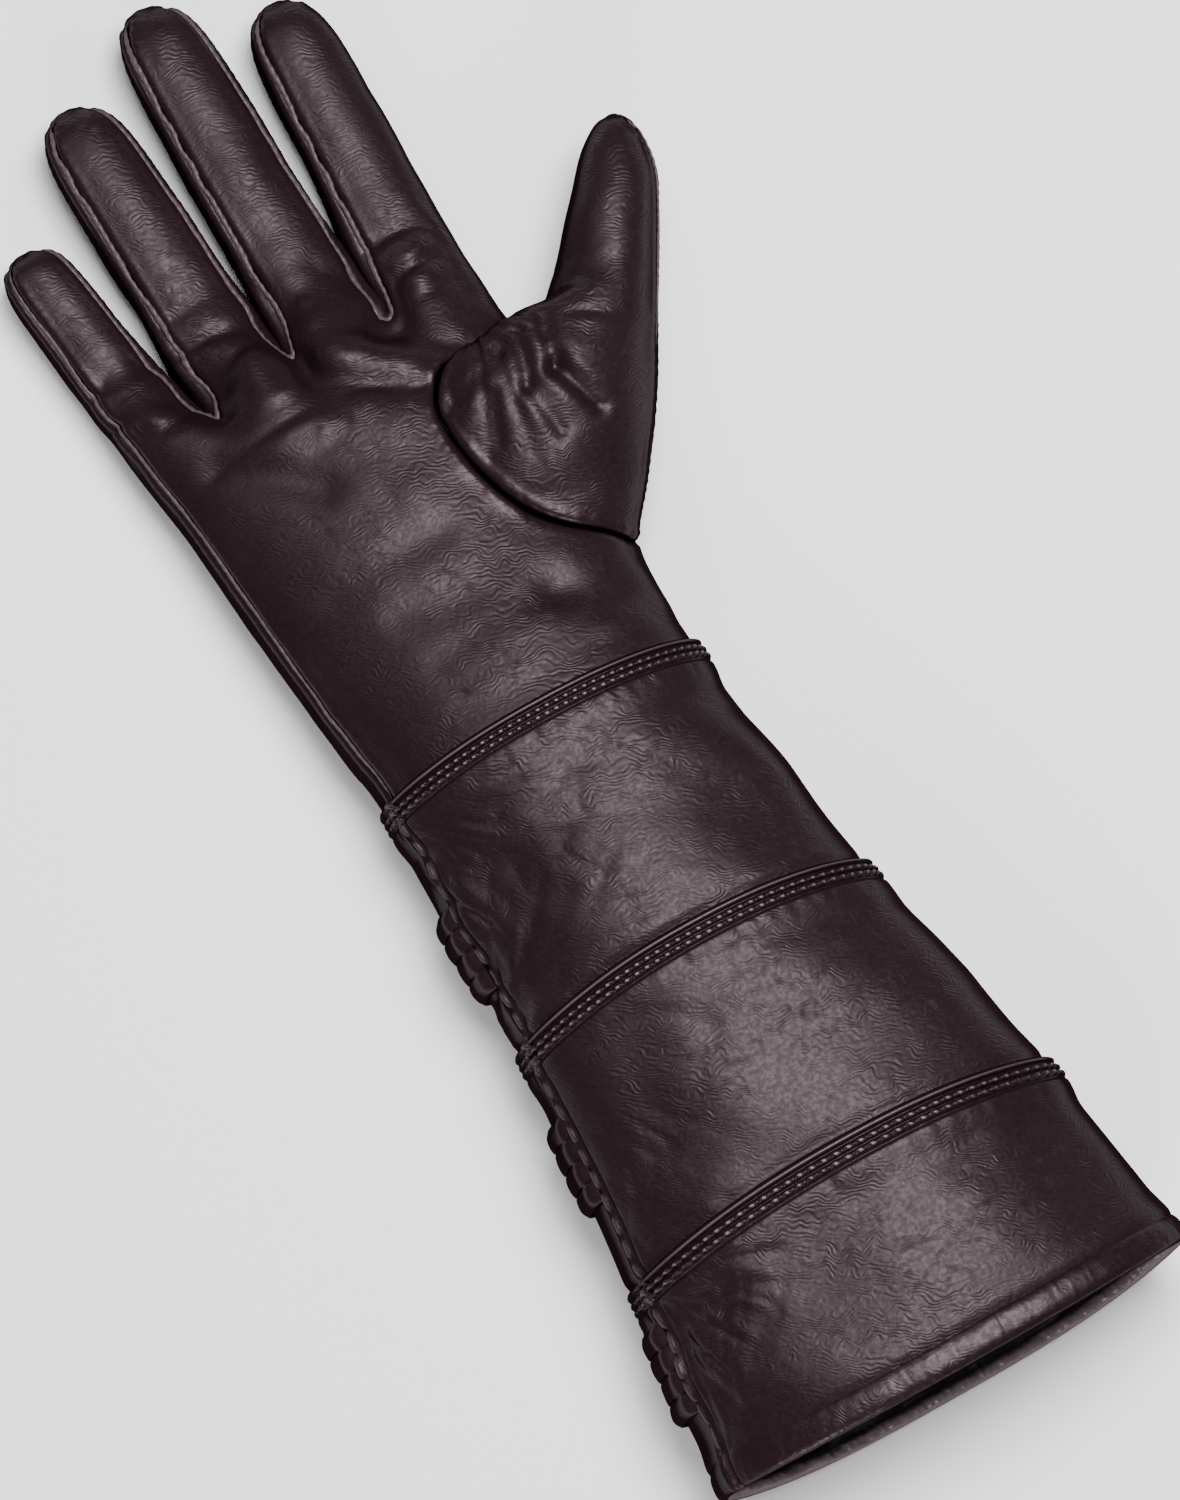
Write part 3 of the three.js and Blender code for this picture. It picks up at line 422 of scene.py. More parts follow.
@dataclass
class Net:
    """A net of four-sided faces. Each face belongs to a piece of leather; seams are named chains
    of points that follow the net's edges."""

    points: Array
    faces: Array
    part: Array
    seams: dict[str, Array] = field(default_factory=dict)

    def edges(self) -> tuple[Array, Array, Array]:
        """Finds the net's edges.

        Returns:
            Each edge's two points, the edge at each side of each face, and each edge's number of
            faces.
        """
        ahead = np.roll(self.faces, -1, axis=1)
        key = np.minimum(self.faces, ahead) * len(self.points) + np.maximum(self.faces, ahead)
        unique, index, count = np.unique(key.ravel(), return_inverse=True, return_counts=True)
        ends = np.stack([unique // len(self.points), unique % len(self.points)], axis=1)
        return ends, index.reshape(self.faces.shape), count

    def _gathered(self, index: Array, values: Array) -> Array:
        """Sums values at points.

        Args:
            index: the point that each value goes to.
            values: rows of numbers, shaped like index with one more axis.

        Returns:
            A row of sums for each point of the net.
        """
        total = np.zeros((len(self.points), values.shape[-1]))
        np.add.at(total, index.ravel(), values.reshape(-1, values.shape[-1]))
        return total

    def _border(self, points: Array, border: Array) -> tuple[Array, Array]:
        """Gathers what the points on the net's border need.

        Args:
            points: where the net's points are.
            border: the two points of each edge on it.

        Returns:
            The sum of each point's two neighbours along it, and whether the point lies on it.
        """
        on_border = np.zeros((len(points), 1), bool)
        on_border[border.ravel()] = True
        return self._gathered(border, points[border[:, ::-1]]), on_border

    def limits(self, points: Array) -> Array:
        """Where points end up on the smooth surface.

        Inside it is (the sum of far corners + 4 * neighbours + n^2 * itself) / (n * (n + 5)) for n
        faces, and on a border (both border neighbours + 4 * itself) / 6.

        Args:
            points: where the net's points are.

        Returns:
            A place for each point.
        """
        ends, _, count = self.edges()
        sides = points[np.roll(self.faces, 1, axis=1)] + points[np.roll(self.faces, -1, axis=1)]
        far = points[np.roll(self.faces, 2, axis=1)]
        n = np.bincount(self.faces.ravel(), minlength=len(points))[:, None]
        inside = (self._gathered(self.faces, 2 * sides + far) + n * n * points) / (n * (n + 5))
        beside, on_border = self._border(points, ends[count == 1])
        return np.where(on_border, (beside + 4 * points) / 6, inside)

    def through_points(self, rounds: int = 6) -> None:
        """Moves the points so that the smooth surface passes through where they were."""
        wanted = self.points.copy()
        for _ in range(rounds):
            self.points = self.points + wanted - self.limits(self.points)

    def smoothed(self) -> "Net":
        """One round of Catmull-Clark: each face becomes four.

        A face gives its mean, an edge the mean of its ends and its two faces, and a point
        (mean of faces + 2 * mean of edge middles + (n - 3) * itself) / n. On a border an edge
        gives its middle and a point (both border neighbours + 6 * itself) / 8.

        Returns:
            The finer net, with its seams carried over.
        """
        p, f = self.points, self.faces
        ends, side, count = self.edges()
        middle = p[f].mean(axis=1)
        shared = np.zeros((len(ends), 3))
        np.add.at(shared, side.ravel(), np.repeat(middle, 4, axis=0))
        halfway = p[ends].mean(axis=1)
        on_edge = np.where((count == 2)[:, None], (2 * halfway + shared) / 4, halfway)
        n = np.bincount(f.ravel(), minlength=len(p))[:, None]
        around = self._gathered(f, np.repeat(middle[:, None], 4, axis=1)) / n
        spokes = self._gathered(ends, np.repeat(halfway[:, None], 2, axis=1))
        spokes = spokes / np.bincount(ends.ravel(), minlength=len(p))[:, None]
        beside, on_border = self._border(p, ends[count == 1])
        inside = (around + 2 * spokes + (n - 3) * p) / n
        moved = np.where(on_border, (beside + 6 * p) / 8, inside)
        edge_at = len(p) + side
        middle_at = (len(p) + len(ends) + np.arange(len(f)))[:, None]
        corners = [f, edge_at, np.repeat(middle_at, 4, axis=1), np.roll(edge_at, 1, axis=1)]
        faces = np.stack(corners, axis=-1).reshape(-1, 4)
        key = ends[:, 0] * len(p) + ends[:, 1]
        seams = {}
        for name, chain in self.seams.items():
            low = np.minimum(chain[:-1], chain[1:])
            high = np.maximum(chain[:-1], chain[1:])
            between = len(p) + np.searchsorted(key, low * len(p) + high)
            woven = np.empty(2 * len(chain) - 1, int)
            woven[::2] = chain
            woven[1::2] = between
            seams[name] = woven
        points = np.concatenate([moved, on_edge, middle])
        return Net(points, faces, np.repeat(self.part, 4), seams)

    def normals(self) -> Array:
        """The outward direction at each point: the sum of its faces' diagonal products."""
        a, b, c, d = (self.points[self.faces[:, k]] for k in range(4))
        facing = np.cross(c - a, d - b)
        return unit(self._gathered(self.faces, np.repeat(facing[:, None], 4, axis=1)))


def nearest(points: Array, line: Array) -> tuple[Array, Array]:
    """The nearest place of a line to each point.

    Args:
        points: n points.
        line: m points along the line.

    Returns:
        n distances and n indices into the line.
    """
    best = np.empty(len(points))
    index = np.empty(len(points), int)
    for start in range(0, len(points), 4096):
        some = slice(start, start + 4096)
        square = (points[some] ** 2).sum(1)[:, None] + (line**2).sum(1) - 2 * points[some] @ line.T
        index[some] = square.argmin(axis=1)
        best[some] = np.sqrt(np.maximum(square.min(axis=1), 0))
    return best, index


class Mesh:
    """A mesh being put together from arrays of points and four-sided faces, with attributes."""

    shift = np.zeros(3)  # from the glove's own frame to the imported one, in mm

    def __init__(self) -> None:
        """Starts with no points."""
        self.points: list[Array] = []
        self.faces: list[Array] = []
        self.values: dict[str, list[Array]] = {}
        self.count = 0

    def add(self, points: Array, faces: Array, **values: Array) -> None:
        """Adds points and faces.

        Args:
            points: places in mm.
            faces: four-sided faces, whose indices start at the first of these points.
            values: for each attribute, a value for each point or one for all.
        """
        self.points.append(points.reshape(-1, 3))
        self.faces.append(faces.reshape(-1, 4) + self.count)
        for name, value in values.items():
            spread = np.broadcast_to(value, points.shape[:-1]).ravel()
            self.values.setdefault(name, []).append(spread)
        self.count += self.points[-1].shape[0]

    def grid(self, points: Array, wrap: tuple[bool, bool], **values: Array) -> "Mesh":
        """Adds a grid of faces.

        Args:
            points: rows of columns of places.
            wrap: whether the rows, and whether the columns, close on themselves.
            values: for each attribute, a value for each point or one for all.

        Returns:
            This mesh.
        """
        rows, columns = points.shape[:2]
        at = np.arange(rows * columns).reshape(rows, columns)
        if wrap[0]:
            at = np.concatenate([at, at[:1]], axis=0)
        if wrap[1]:
            at = np.concatenate([at, at[:, :1]], axis=1)
        faces = np.stack([at[:-1, :-1], at[:-1, 1:], at[1:, 1:], at[1:, :-1]], axis=-1)
        self.add(points, faces, **values)
        return self

    def build(
        self, name: str, finish: bpy.types.Material, slot: str, *nodes: str
    ) -> bpy.types.Object:
        """Writes the mesh as a piece that rides on the glove.

        Args:
            name: the piece's name.
            finish: its material.
            slot: not used.
            nodes: the CAD nodes that it stands for.

        Returns:
            The new object.
        """
        points = (np.concatenate(self.points) + self.shift) * METRES
        points[:, 2] = np.maximum(points[:, 2], 0)
        faces = np.concatenate(self.faces)
        mesh = bpy.data.meshes.new(name)
        mesh.vertices.add(len(points))
        mesh.vertices.foreach_set("co", points.astype(np.float32).ravel())
        mesh.loops.add(faces.size)
        mesh.loops.foreach_set("vertex_index", faces.astype(np.int32).ravel())
        mesh.polygons.add(len(faces))
        mesh.polygons.foreach_set("loop_start", np.arange(0, faces.size, 4, dtype=np.int32))
        mesh.polygons.foreach_set("use_smooth", np.ones(len(faces), bool))
        for key, parts in self.values.items():
            layer = mesh.attributes.new(key, "FLOAT", "POINT")
            layer.data.foreach_set("value", np.concatenate(parts).astype(np.float32))
        mesh.update(calc_edges=True)
        mesh.validate()
        mesh.materials.append(finish)
        piece = bpy.data.objects.new(name, mesh)
        bpy.context.scene.collection.objects.link(piece)
        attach(piece, "root")
        if nodes:
            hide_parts(*nodes)
        LOG.info("%s: %d triangles", name, 2 * len(faces))
        return piece


def swept(path: Array, facing: Array, section: Array) -> Array:
    """A section carried along a path.

    Args:
        path: n points.
        facing: n directions that the section's second axis follows.
        section: n x k x 2 places across the path and along its facing.

    Returns:
        n x k points, a row of the section at each point of the path.
    """
    along = unit(np.gradient(path, axis=0))
    across = unit(np.cross(along, facing))[:, None]
    up = unit(np.cross(across[:, 0], along))[:, None]
    return path[:, None] + section[..., :1] * across + section[..., 1:] * up


# Columns of the hand's net, as degrees round a section: 0 is the thumb's side, 90 the palm.
COLUMNS = {
    "ulnar_seam": 160.0,
    "little_root": 138.0,
    "little_web": 117.0,
    "ring_root": 101.5,
    "ring_web": 91.0,
    "middle_root": 83.0,
    "middle_web": 63.5,
    "index_root": 47.0,
    "radial_corner": 21.0,
    "radial_side": 0.0,
    "back_radial_corner": -24.0,
    "back_index_root": -45.5,
    "back_middle_web": -60.0,
    "back_middle_root": -80.5,
    "back_ring_web": -91.0,
    "back_ring_root": -102.0,
    "back_little_web": -118.0,
    "back_little_root": -137.0,
    "back_ulnar_corner": -158.0,
    "ulnar_side": -180.0,
}
COLUMN = {name: k for k, name in enumerate(COLUMNS)}


class SeamPoint(NamedTuple):
    """A point of the hand's net that is moved to the thumb's seam or beside it."""

    row: int
    column: str
    angle: float
    share: float


class Finger(NamedTuple):
    """A finger: length in mm, width as a share of the palm's, height of the thickness, splay in
    degrees, and how far the crotch on its thumb's side lies back, by the palm's length."""

    name: str
    length: float
    width: float
    height: float
    splay: float
    web: float


class Fold(NamedTuple):
    """A straight fold or, with a negative depth, a ridge: across in half palm widths from the
    wrist's middle, along in palm lengths, depth and spread in shares of the folds' own."""

    across: float
    along: float
    to_across: float
    to_along: float
    depth: float
    spread: float


@dataclass(frozen=True)
class Seam:
    """The relief beside a hand seam in mm: a narrow groove with a soft swell next to it."""

    groove: float = 0.6
    groove_width: float = 0.8
    swell: float = 0.28
    swell_width: float = 2.6
    pucker: float = 0.07
    pitch: float = 3.1


@dataclass
class Hand:
    """The hand: palm, back and three fourchettes cut from one net, and the thumb set into it."""

    form: GloveForm
    finger_height: float = 20.0
    finger_lift: float = 4.0
    finger_gap: float = 0.9
    finger_roll: float = 13.0
    thumb_length: float = 47.5
    thumb_width: float = 26.8
    thumb_height: float = 27.0
    thumb_angle: float = 34.0
    thumb_bulge: float = 5.5
    thumb_side_bulge: float = 0.35
    web_step: float = 0.11
    web_palm_height: float = 0.74
    web_back_height: float = 0.12
    seam_gap: float = 0.4
    fold_depth: float = 1.6
    fold_spread: float = 4.0
    crotch_swell: float = 1.0
    crotch_span: tuple[float, ...] = (104, 111, 122, 142)
    tucked_end: float = 16.0  # y up to which the hand is tucked under the cuff
    tuck: float = -0.55  # how far outside the plain form it lies there
    bunching: float = 1.9  # height of the bunched folds over the palm's knuckles
    bunched_span: tuple[float, ...] = (78, 98, 118, 142)  # and where they lie, in mm of y
    wrist_pleat: float = 0.4  # height of the cross pleats above the wrist
    pleat_span: tuple[float, ...] = (6, 18, 55, 75)
    unevenness: tuple[tuple[float, float, int], ...] = ((0.35, 17, 3), (0.14, 7, 5))
    thumb_pleats: tuple[tuple[float, float, int], ...] = ((1.7, 8, 11), (0.5, 3.4, 12))
    ridge_step: float = 0.45  # distance between the rings of a rolled edge
    stitch_pitch: float = 2.7  # distance between its puckers
    thumb_first_row: int = 2
    thumb_last_row: int = 6
    rounds: int = 4
    seam: Seam = Seam()
    rows: tuple[float, ...] = (0.3, 0.45, 0.59, 0.71, 0.84, 1.0)
    fingers: tuple[Finger, ...] = rows_of(
        Finger,
        ("little", 54.0, 0.211, 0.9, -8.2, -0.075),
        ("ring", 80.5, 0.256, 0.97, -3.4, -0.022),
        ("middle", 94.0, 0.268, 1.0, -0.9, -0.045),
        ("index", 80.0, 0.255, 0.98, 1.4, 0.0),
    )
    # Rings of a finger: share of its length, of its width and of its height.
    finger_rings: tuple[tuple[float, float, float], ...] = (
        (0.16, 1.0, 1.0),
        (0.44, 0.975, 0.96),
        (0.74, 0.93, 0.9),
        (0.9, 0.8, 0.77),
        (0.972, 0.5, 0.47),
    )
    # A finger's section, as shares of its half width and half height; the corners are its seams.
    finger_section: tuple[tuple[float, float], ...] = (
        (-0.91, 0.56),
        (-0.1, 1),
        (0.76, 0.78),
        (1, 0),
        (0.76, -0.78),
        (0, -1),
        (-0.76, -0.78),
        (-1, 0),
    )
    # Rings of the thumb: share of its length, width and height, and its shift by the width.
    thumb_rings: tuple[tuple[float, float, float, float], ...] = (
        (0, 1, 1, 0),
        (0.3, 0.88, 0.92, 0.033),
        (0.6, 0.77, 0.82, 0.042),
        (0.8, 0.625, 0.66, 0.024),
        (0.925, 0.4, 0.43, 0),
    )
    thumb_root: tuple[float, float, float] = (1.43, 0.752, 0.889)
    ball_rows: tuple[float, float] = (0.3, 0.65)
    thumb_angles: tuple[float, ...] = (
        *(0, 22, 44, 63, 80, 97, 114),
        *(132, 151, 171, 195, 236, 277, 319),
    )
    thumb_seam: tuple[SeamPoint, ...] = rows_of(
        SeamPoint,
        (2, "middle_web", 62, 0.415),
        (2, "index_root", 50, 0.34),
        (2, "radial_corner", 31, 0.287),
        (2, "radial_side", 5, 0.263),
        (2, "back_radial_corner", -24, 0.28),
        (2, "middle_root", 81, 0.366),
        (3, "middle_web", 68, 0.505),
        (3, "radial_side", -13, 0.385),
        (3, "back_radial_corner", -30, 0.425),
        (3, "middle_root", 83, 0.482),
        (4, "middle_web", 70.5, 0.607),
        (4, "radial_side", -15, 0.53),
        (4, "back_radial_corner", -32, 0.558),
        (4, "middle_root", 84, 0.597),
        (5, "middle_web", 69.5, 0.7),
        (5, "radial_side", -12, 0.683),
        (5, "back_radial_corner", -30, 0.702),
        (5, "middle_root", 84, 0.712),
        (6, "middle_web", 61.5, 0.78),
        (6, "index_root", 48, 0.797),
        (6, "radial_corner", 28, 0.809),
        (6, "radial_side", 3, 0.818),
        (6, "middle_root", 83, 0.818),
    )
    folds: tuple[Fold, ...] = rows_of(
        Fold,
        (0.36, 0.75, -0.26, 0.94, 0.6, 0.8),
        (0.33, 0.92, 0.69, 0.76, 0.9, 1),
        (0.3, 0.84, 0.1, 0.9, -0.5, 1.2),
        (-0.76, 0.82, -0.37, 0.67, 0.8, 1.3),
        (-0.45, 0.86, 0.1, 0.73, -0.6, 1.8),
        (-0.58, 0.44, 0.02, 0.46, 0.25, 1.2),
        (-0.37, 0.33, 0.2, 0.34, 0.25, 1.0),
        (-0.3, 0.21, 0.3, 0.24, 0.25, 1.0),
        (0.39, 0.21, 0.79, 0.12, 1, 1.4),
        (0.98, 0.76, 0.92, 0.65, 1.1, 0.6),
        (0.92, 0.65, 1.02, 0.53, 1.3, 0.55),
        (0.84, 0.76, 0.74, 0.64, 0.8, 0.5),
        (0.74, 0.64, 0.78, 0.52, 0.8, 0.5),
        (0.74, 0.75, 0.4, 0.69, 0.7, 0.6),
        (0.57, 0.66, 0.49, 0.57, 0.6, 0.5),
    )

    def hand_net(self) -> tuple[Net, Array]:
        """The net of the palm, the back and the fingers.

        Returns:
            The net, and the points round the thumb's hole.
        """
        form = self.form
        lap = form.lap / form.palm_length
        shares = np.array([-lap, lap, *self.rows])
        share = np.repeat(shares[:, None], len(COLUMNS), axis=1)
        angle = np.repeat(np.array([*COLUMNS.values()])[None], len(shares), axis=0)
        for s in self.thumb_seam:
            share[s.row, COLUMN[s.column]] = s.share
            angle[s.row, COLUMN[s.column]] = s.angle
        grid = form.body(form.palm_length * share, angle)
        for finger in self.fingers[:-1]:
            palm = COLUMN[f"{finger.name}_web"]
            back = COLUMN[f"back_{finger.name}_web"]
            grid[-1, palm, 1] += form.palm_length * finger.web
            grid[-1, palm, 2] = form.knuckle_height * self.web_palm_height
            grid[-1, back, 1] += form.palm_length * (finger.web + self.web_step)
            grid[-1, back, 2] = form.knuckle_height * self.web_back_height
        at = np.arange(share.size).reshape(share.shape)
        beside = np.roll(at, -1, axis=1)
        faces = np.stack([at[:-1], beside[:-1], beside[1:], at[1:]], axis=-1)
        last_palm = COLUMN["back_radial_corner"]
        part = np.where(np.arange(len(COLUMNS)) < last_palm, Part.PALM, Part.BACK)
        part = np.repeat(part[None], len(shares) - 1, axis=0)
        left, right = COLUMN["middle_web"], COLUMN["radial_side"]
        first, last = self.thumb_first_row, self.thumb_last_row
        solid = np.ones(part.shape, bool)
        solid[first:last, left:right] = False
        net = Net(grid.reshape(-1, 3), faces[solid], part[solid])
        top = at[-1]
        webs = [(f"{f.name}_web", f"back_{f.name}_web") for f in self.fingers[:-1]]
        crotch = {}
        for palm, back in webs:
            crotch[palm] = len(net.points)
            middle = net.points[[top[COLUMN[palm]], top[COLUMN[back]]]].mean(axis=0)
            net.points = np.concatenate([net.points, middle[None]])
        corners = {}
        for k, finger in enumerate(self.fingers):
            before = self.fingers[k - 1].name if k else None
            after = finger.name if k + 1 < len(self.fingers) else None
            root = [
                top[COLUMN[f"{before}_web" if before else "ulnar_seam"]],
                top[COLUMN[f"{finger.name}_root"]],
                top[COLUMN[f"{after}_web" if after else "radial_corner"]],
                crotch[f"{after}_web"] if after else top[COLUMN["radial_side"]],
                top[COLUMN[f"back_{after}_web" if after else "back_radial_corner"]],
                top[COLUMN[f"back_{finger.name}_root"]],
                top[COLUMN[f"back_{before}_web" if before else "back_ulnar_corner"]],
                crotch[f"{before}_web"] if before else top[COLUMN["ulnar_side"]],
            ]
            right_part = Part[f"FOURCHETTE_{after.upper()}"] if after else Part.PALM
            left_part = Part[f"FOURCHETTE_{before.upper()}"] if before else Part.BACK
            parts = [Part.PALM] * 2 + [right_part] * 2 + [Part.BACK] * 2 + [left_part] * 2
            corners[finger.name] = self._finger(net, finger, np.array(root), np.array(parts))
        self._hand_seams(net, at, corners)
        rim = [
            at[first, left + 1 : right + 1][::-1],
            at[first:last, left],
            at[last, left:right],
            at[first + 1 : last + 1, right][::-1],
        ]
        return net, np.concatenate(rim)

    def _finger(self, net: Net, finger: Finger, root: Array, parts: Array) -> Array:
        """Adds a finger's rings and its tip to the net.

        A ring is the finger's section, scaled by its row, rolled about the finger's axis and
        carried along it; the middle rises with the square of the share.

        Args:
            net: the net to add to.
            finger: the finger's sizes.
            root: the eight points that it grows from.
            parts: the piece of leather on each of its eight sides.

        Returns:
            The points of the root and of each ring, a row for each, with the tip's last.
        """
        start = net.points[[root[1], root[5]]].mean(axis=0)
        width = self.form.palm_width * finger.width - self.finger_gap
        height = self.finger_height * finger.height
        splay, roll = math.radians(finger.splay), math.radians(self.finger_roll)
        axis = np.array([math.sin(splay), math.cos(splay), 0])
        across = np.array([axis[1], -axis[0], 0])
        rings = np.array([*self.finger_rings, (1.0, 0.0, 0.5)])
        share, wide, high = rings.T
        centre = start + axis * finger.length * share[:, None]
        half = height * high / 2
        centre[:, 2] = (height / 2 + half) / 2 + self.finger_lift * share**2
        section = np.array(self.finger_section)
        x = section[:, 0] * width * wide[:, None] / 2
        z = section[:, 1] * half[:, None]
        points = (
            centre[:, None]
            + (x * math.cos(roll) + z * math.sin(roll))[..., None] * across
            + (z * math.cos(roll) - x * math.sin(roll))[..., None] * UP
        )
        count = len(net.points)
        rows = count + np.arange(points[:-1].size // 3).reshape(-1, 8)
        tip = count + rows.size
        net.points = np.concatenate([net.points, points[:-1].reshape(-1, 3), centre[-1:]])
        loops = np.concatenate([root[None], rows])
        ahead = np.roll(loops, -1, axis=1)
        sides = np.stack([loops[:-1], ahead[:-1], ahead[1:], loops[1:]], axis=-1)
        a, b, c, d, e, f, g, h = rows[-1]
        ends = np.array([[a, b, tip, h], [b, c, d, tip], [d, e, f, tip], [f, g, h, tip]])
        net.faces = np.concatenate([net.faces, sides.reshape(-1, 4), ends])
        tips = [Part.PALM, Part.PALM, Part.BACK, Part.BACK]
        net.part = np.concatenate([net.part, np.tile(parts, len(rows)), tips])
        return np.concatenate([loops, np.full((1, 8), tip)])

    def _hand_seams(self, net: Net, at: Array, corners: dict[str, Array]) -> None:
        """Names the chains of the net's points that the hand's seams follow.

        Args:
            net: the net that takes the seams.
            at: the numbers of the palm's and the back's points, in rows and columns.
            corners: for each finger, the points of its root, its rings and its tip.
        """
        net.seams["ulnar"] = np.concatenate([at[:-1, 0], corners["little"][:-1, 0]])
        radial = at[:-1, COLUMN["back_radial_corner"]]
        net.seams["radial"] = np.concatenate([radial, corners["index"][:-1, 4]])
        for left, right in zip(self.fingers[:-1], self.fingers[1:]):
            out, back = corners[left.name], corners[right.name]
            name = left.name
            net.seams[f"palm_{name}"] = np.concatenate([out[-2:0:-1, 2], back[:-1, 0]])
            net.seams[f"back_{name}"] = np.concatenate([out[-2:0:-1, 4], back[:-1, 6]])
        for finger in self.fingers:
            ring = corners[finger.name]
            net.seams[f"tip_{finger.name}"] = np.array(
                [ring[-2, 2], ring[-2, 3], ring[-1, 0], ring[-2, 7], ring[-2, 0]]
            )

    def thumb_net(self, rim: Array) -> Net:
        """The thumb's net, from the seam round its hole over the ball of the thumb to its tip.

        Args:
            rim: the points of the seam, where the thumb's angles begin.

        Returns:
            The net, with its hole's seam and the two chains beside its edge seam.
        """
        form = self.form
        side_share, along_share, up_share = self.thumb_root
        width, centre, *_ = form.station(np.array(form.palm_length * along_share))
        turn = math.radians(self.thumb_angle)
        axis = np.array([math.sin(turn), math.cos(turn), 0])
        across = np.array([axis[1], -axis[0], 0])
        beside = centre + width / 2 * side_share
        start = np.array([beside, form.palm_length * along_share, form.knuckle_height * up_share])
        angles = np.radians(self.thumb_angles)
        share, wide, high, shift = np.array(self.thumb_rings).T[..., None, None]
        rings = (
            start
            + axis * self.thumb_length * share
            + across * self.thumb_width * (shift + np.cos(angles)[:, None] * wide / 2)
            + UP * (np.sin(angles)[:, None] * self.thumb_height * high / 2)
        )
        ball = np.array(self.ball_rows)[:, None, None]
        swell = self.thumb_bulge * 4 * ball * (1 - ball)
        up = np.maximum(np.sin(angles), 0)[:, None]
        out = np.maximum(np.cos(angles), 0)[:, None]
        rows = rim + (rings[0] - rim) * ball
        rows = rows + swell * up * UP
        rows = rows + swell * self.thumb_side_bulge * out * across
        points = np.concatenate([rim[None], rows, rings])
        count = len(rim)
        at = np.arange(len(points) * count).reshape(-1, count)
        ahead = np.roll(at, -1, axis=1)
        faces = np.stack([at[:-1], at[1:], ahead[1:], ahead[:-1]], axis=-1).reshape(-1, 4)
        tip = at.size
        last = at[-1]
        end = [last[::2], np.full(count // 2, tip), np.roll(last, -2)[::2], last[1::2]]
        faces = np.concatenate([faces, np.stack(end, axis=-1)])
        points = np.concatenate([points.reshape(-1, 3), (start + axis * self.thumb_length)[None]])
        seams = {"hole": np.append(at[0], at[0, 0])}
        seams |= {"side": np.append(at[:, 0], tip), "edge": np.append(at[:, 1], tip)}
        return Net(points, faces, np.full(len(faces), Part.THUMB), seams)

    def thumb_edge(self, net: Net, rows: Array) -> Array:
        """Values along the thumb's edge seam, which runs between two chains of its net.

        Args:
            net: the thumb's net.
            rows: values at its points.

        Returns:
            A value for each point of the chains.
        """
        side, edge = rows[net.seams["side"]], rows[net.seams["edge"]]
        return side + (edge - side) * np.linspace(0.3, 0.85, len(side))[:, None]

    def folded(self, points: Array) -> Array:
        """How deep the folds lie at each point, seen from above.

        Each fold is a bell of the distance from its straight line; the depths add up.

        Args:
            points: n places in mm.

        Returns:
            n depths in mm.
        """
        size = np.array([self.form.palm_width / 2, self.form.palm_length])
        total = np.zeros(len(points))
        for fold in self.folds:
            start = np.array([fold.across, fold.along]) * size
            run = np.array([fold.to_across, fold.to_along]) * size - start
            away = points[:, :2] - start
            share = np.clip(away @ run / (run @ run), 0, 1)
            distance = np.linalg.norm(away - share[:, None] * run, axis=1)
            total += fold.depth * bell(distance, fold.spread * self.fold_spread)
        return self.fold_depth * total

    def softened(self, net: Net) -> None:
        """Lays folds and the leather's soft unevenness into a net, and keeps it under the cuff.

        Args:
            net: the smooth net, which is changed.
        """
        facing = net.normals()
        clear = ease(0, self.form.lap, net.points[:, 1])
        up = np.maximum(facing[:, 2], 0)
        relief = -self.folded(net.points) * clear * up
        along = net.points[:, 1]
        knuckles = between(along, self.bunched_span) * ease(44, 36, net.points[:, 0])
        bunched = np.minimum(1.6 * np.abs(soft_noise(net.points * [0.55, 1, 0.5], 8, 4)), 1) - 0.5
        relief += self.bunching * bunched * knuckles * up
        wrist = between(along, self.pleat_span)
        pleats = soft_noise(net.points * [0.3, 1, 0.3], 6.5, 9)
        relief += self.wrist_pleat * pleats * wrist * up
        for height, wavelength, seed in self.unevenness:
            relief += height * soft_noise(net.points, wavelength, seed) * clear
        if net.part[0] == Part.THUMB:
            crotch = np.array([0.7, 0.83]) * [self.form.palm_width / 2, self.form.palm_length]
            reach = np.linalg.norm(net.points[:, :2] - crotch, axis=1)
            near = ease(52, 12, reach)
            for height, wavelength, seed in self.thumb_pleats:
                pleats = fanned(net.points, crotch, 26, wavelength, seed)
                relief += height * pleats * near * (0.3 + 0.7 * up)
        net.points = net.points + relief[:, None] * facing
        edge = net.points[:, 1] < self.tucked_end
        near = net.points[edge]
        place = self.form.onto_body(near, self.tuck)
        under = ease(13, 6, near[:, 1])[:, None]
        net.points[edge] = near + (place - near) * under

    def sewn(self, net: Net, lines: list[Array], seam: Seam) -> Array:
        """Presses a groove along seams, with a swell beside it that the stitches pucker.

        Args:
            net: the net to change.
            lines: the seams' points.
            seam: the relief's sizes.

        Returns:
            The distance of each point from the nearest seam in mm.
        """
        line = np.concatenate(lines)
        run = np.concatenate([run_length(x) for x in lines])
        distance, index = nearest(net.points, line)
        pucker = np.cos(2 * math.pi * run[index] / seam.pitch + 2 * soft_noise(net.points, 9, 8))
        relief = -seam.groove * bell(distance, seam.groove_width)
        relief += (seam.swell + seam.pucker * pucker) * bell(distance - 1.9, seam.swell_width / 2)
        net.points = net.points + relief[:, None] * net.normals()
        return distance

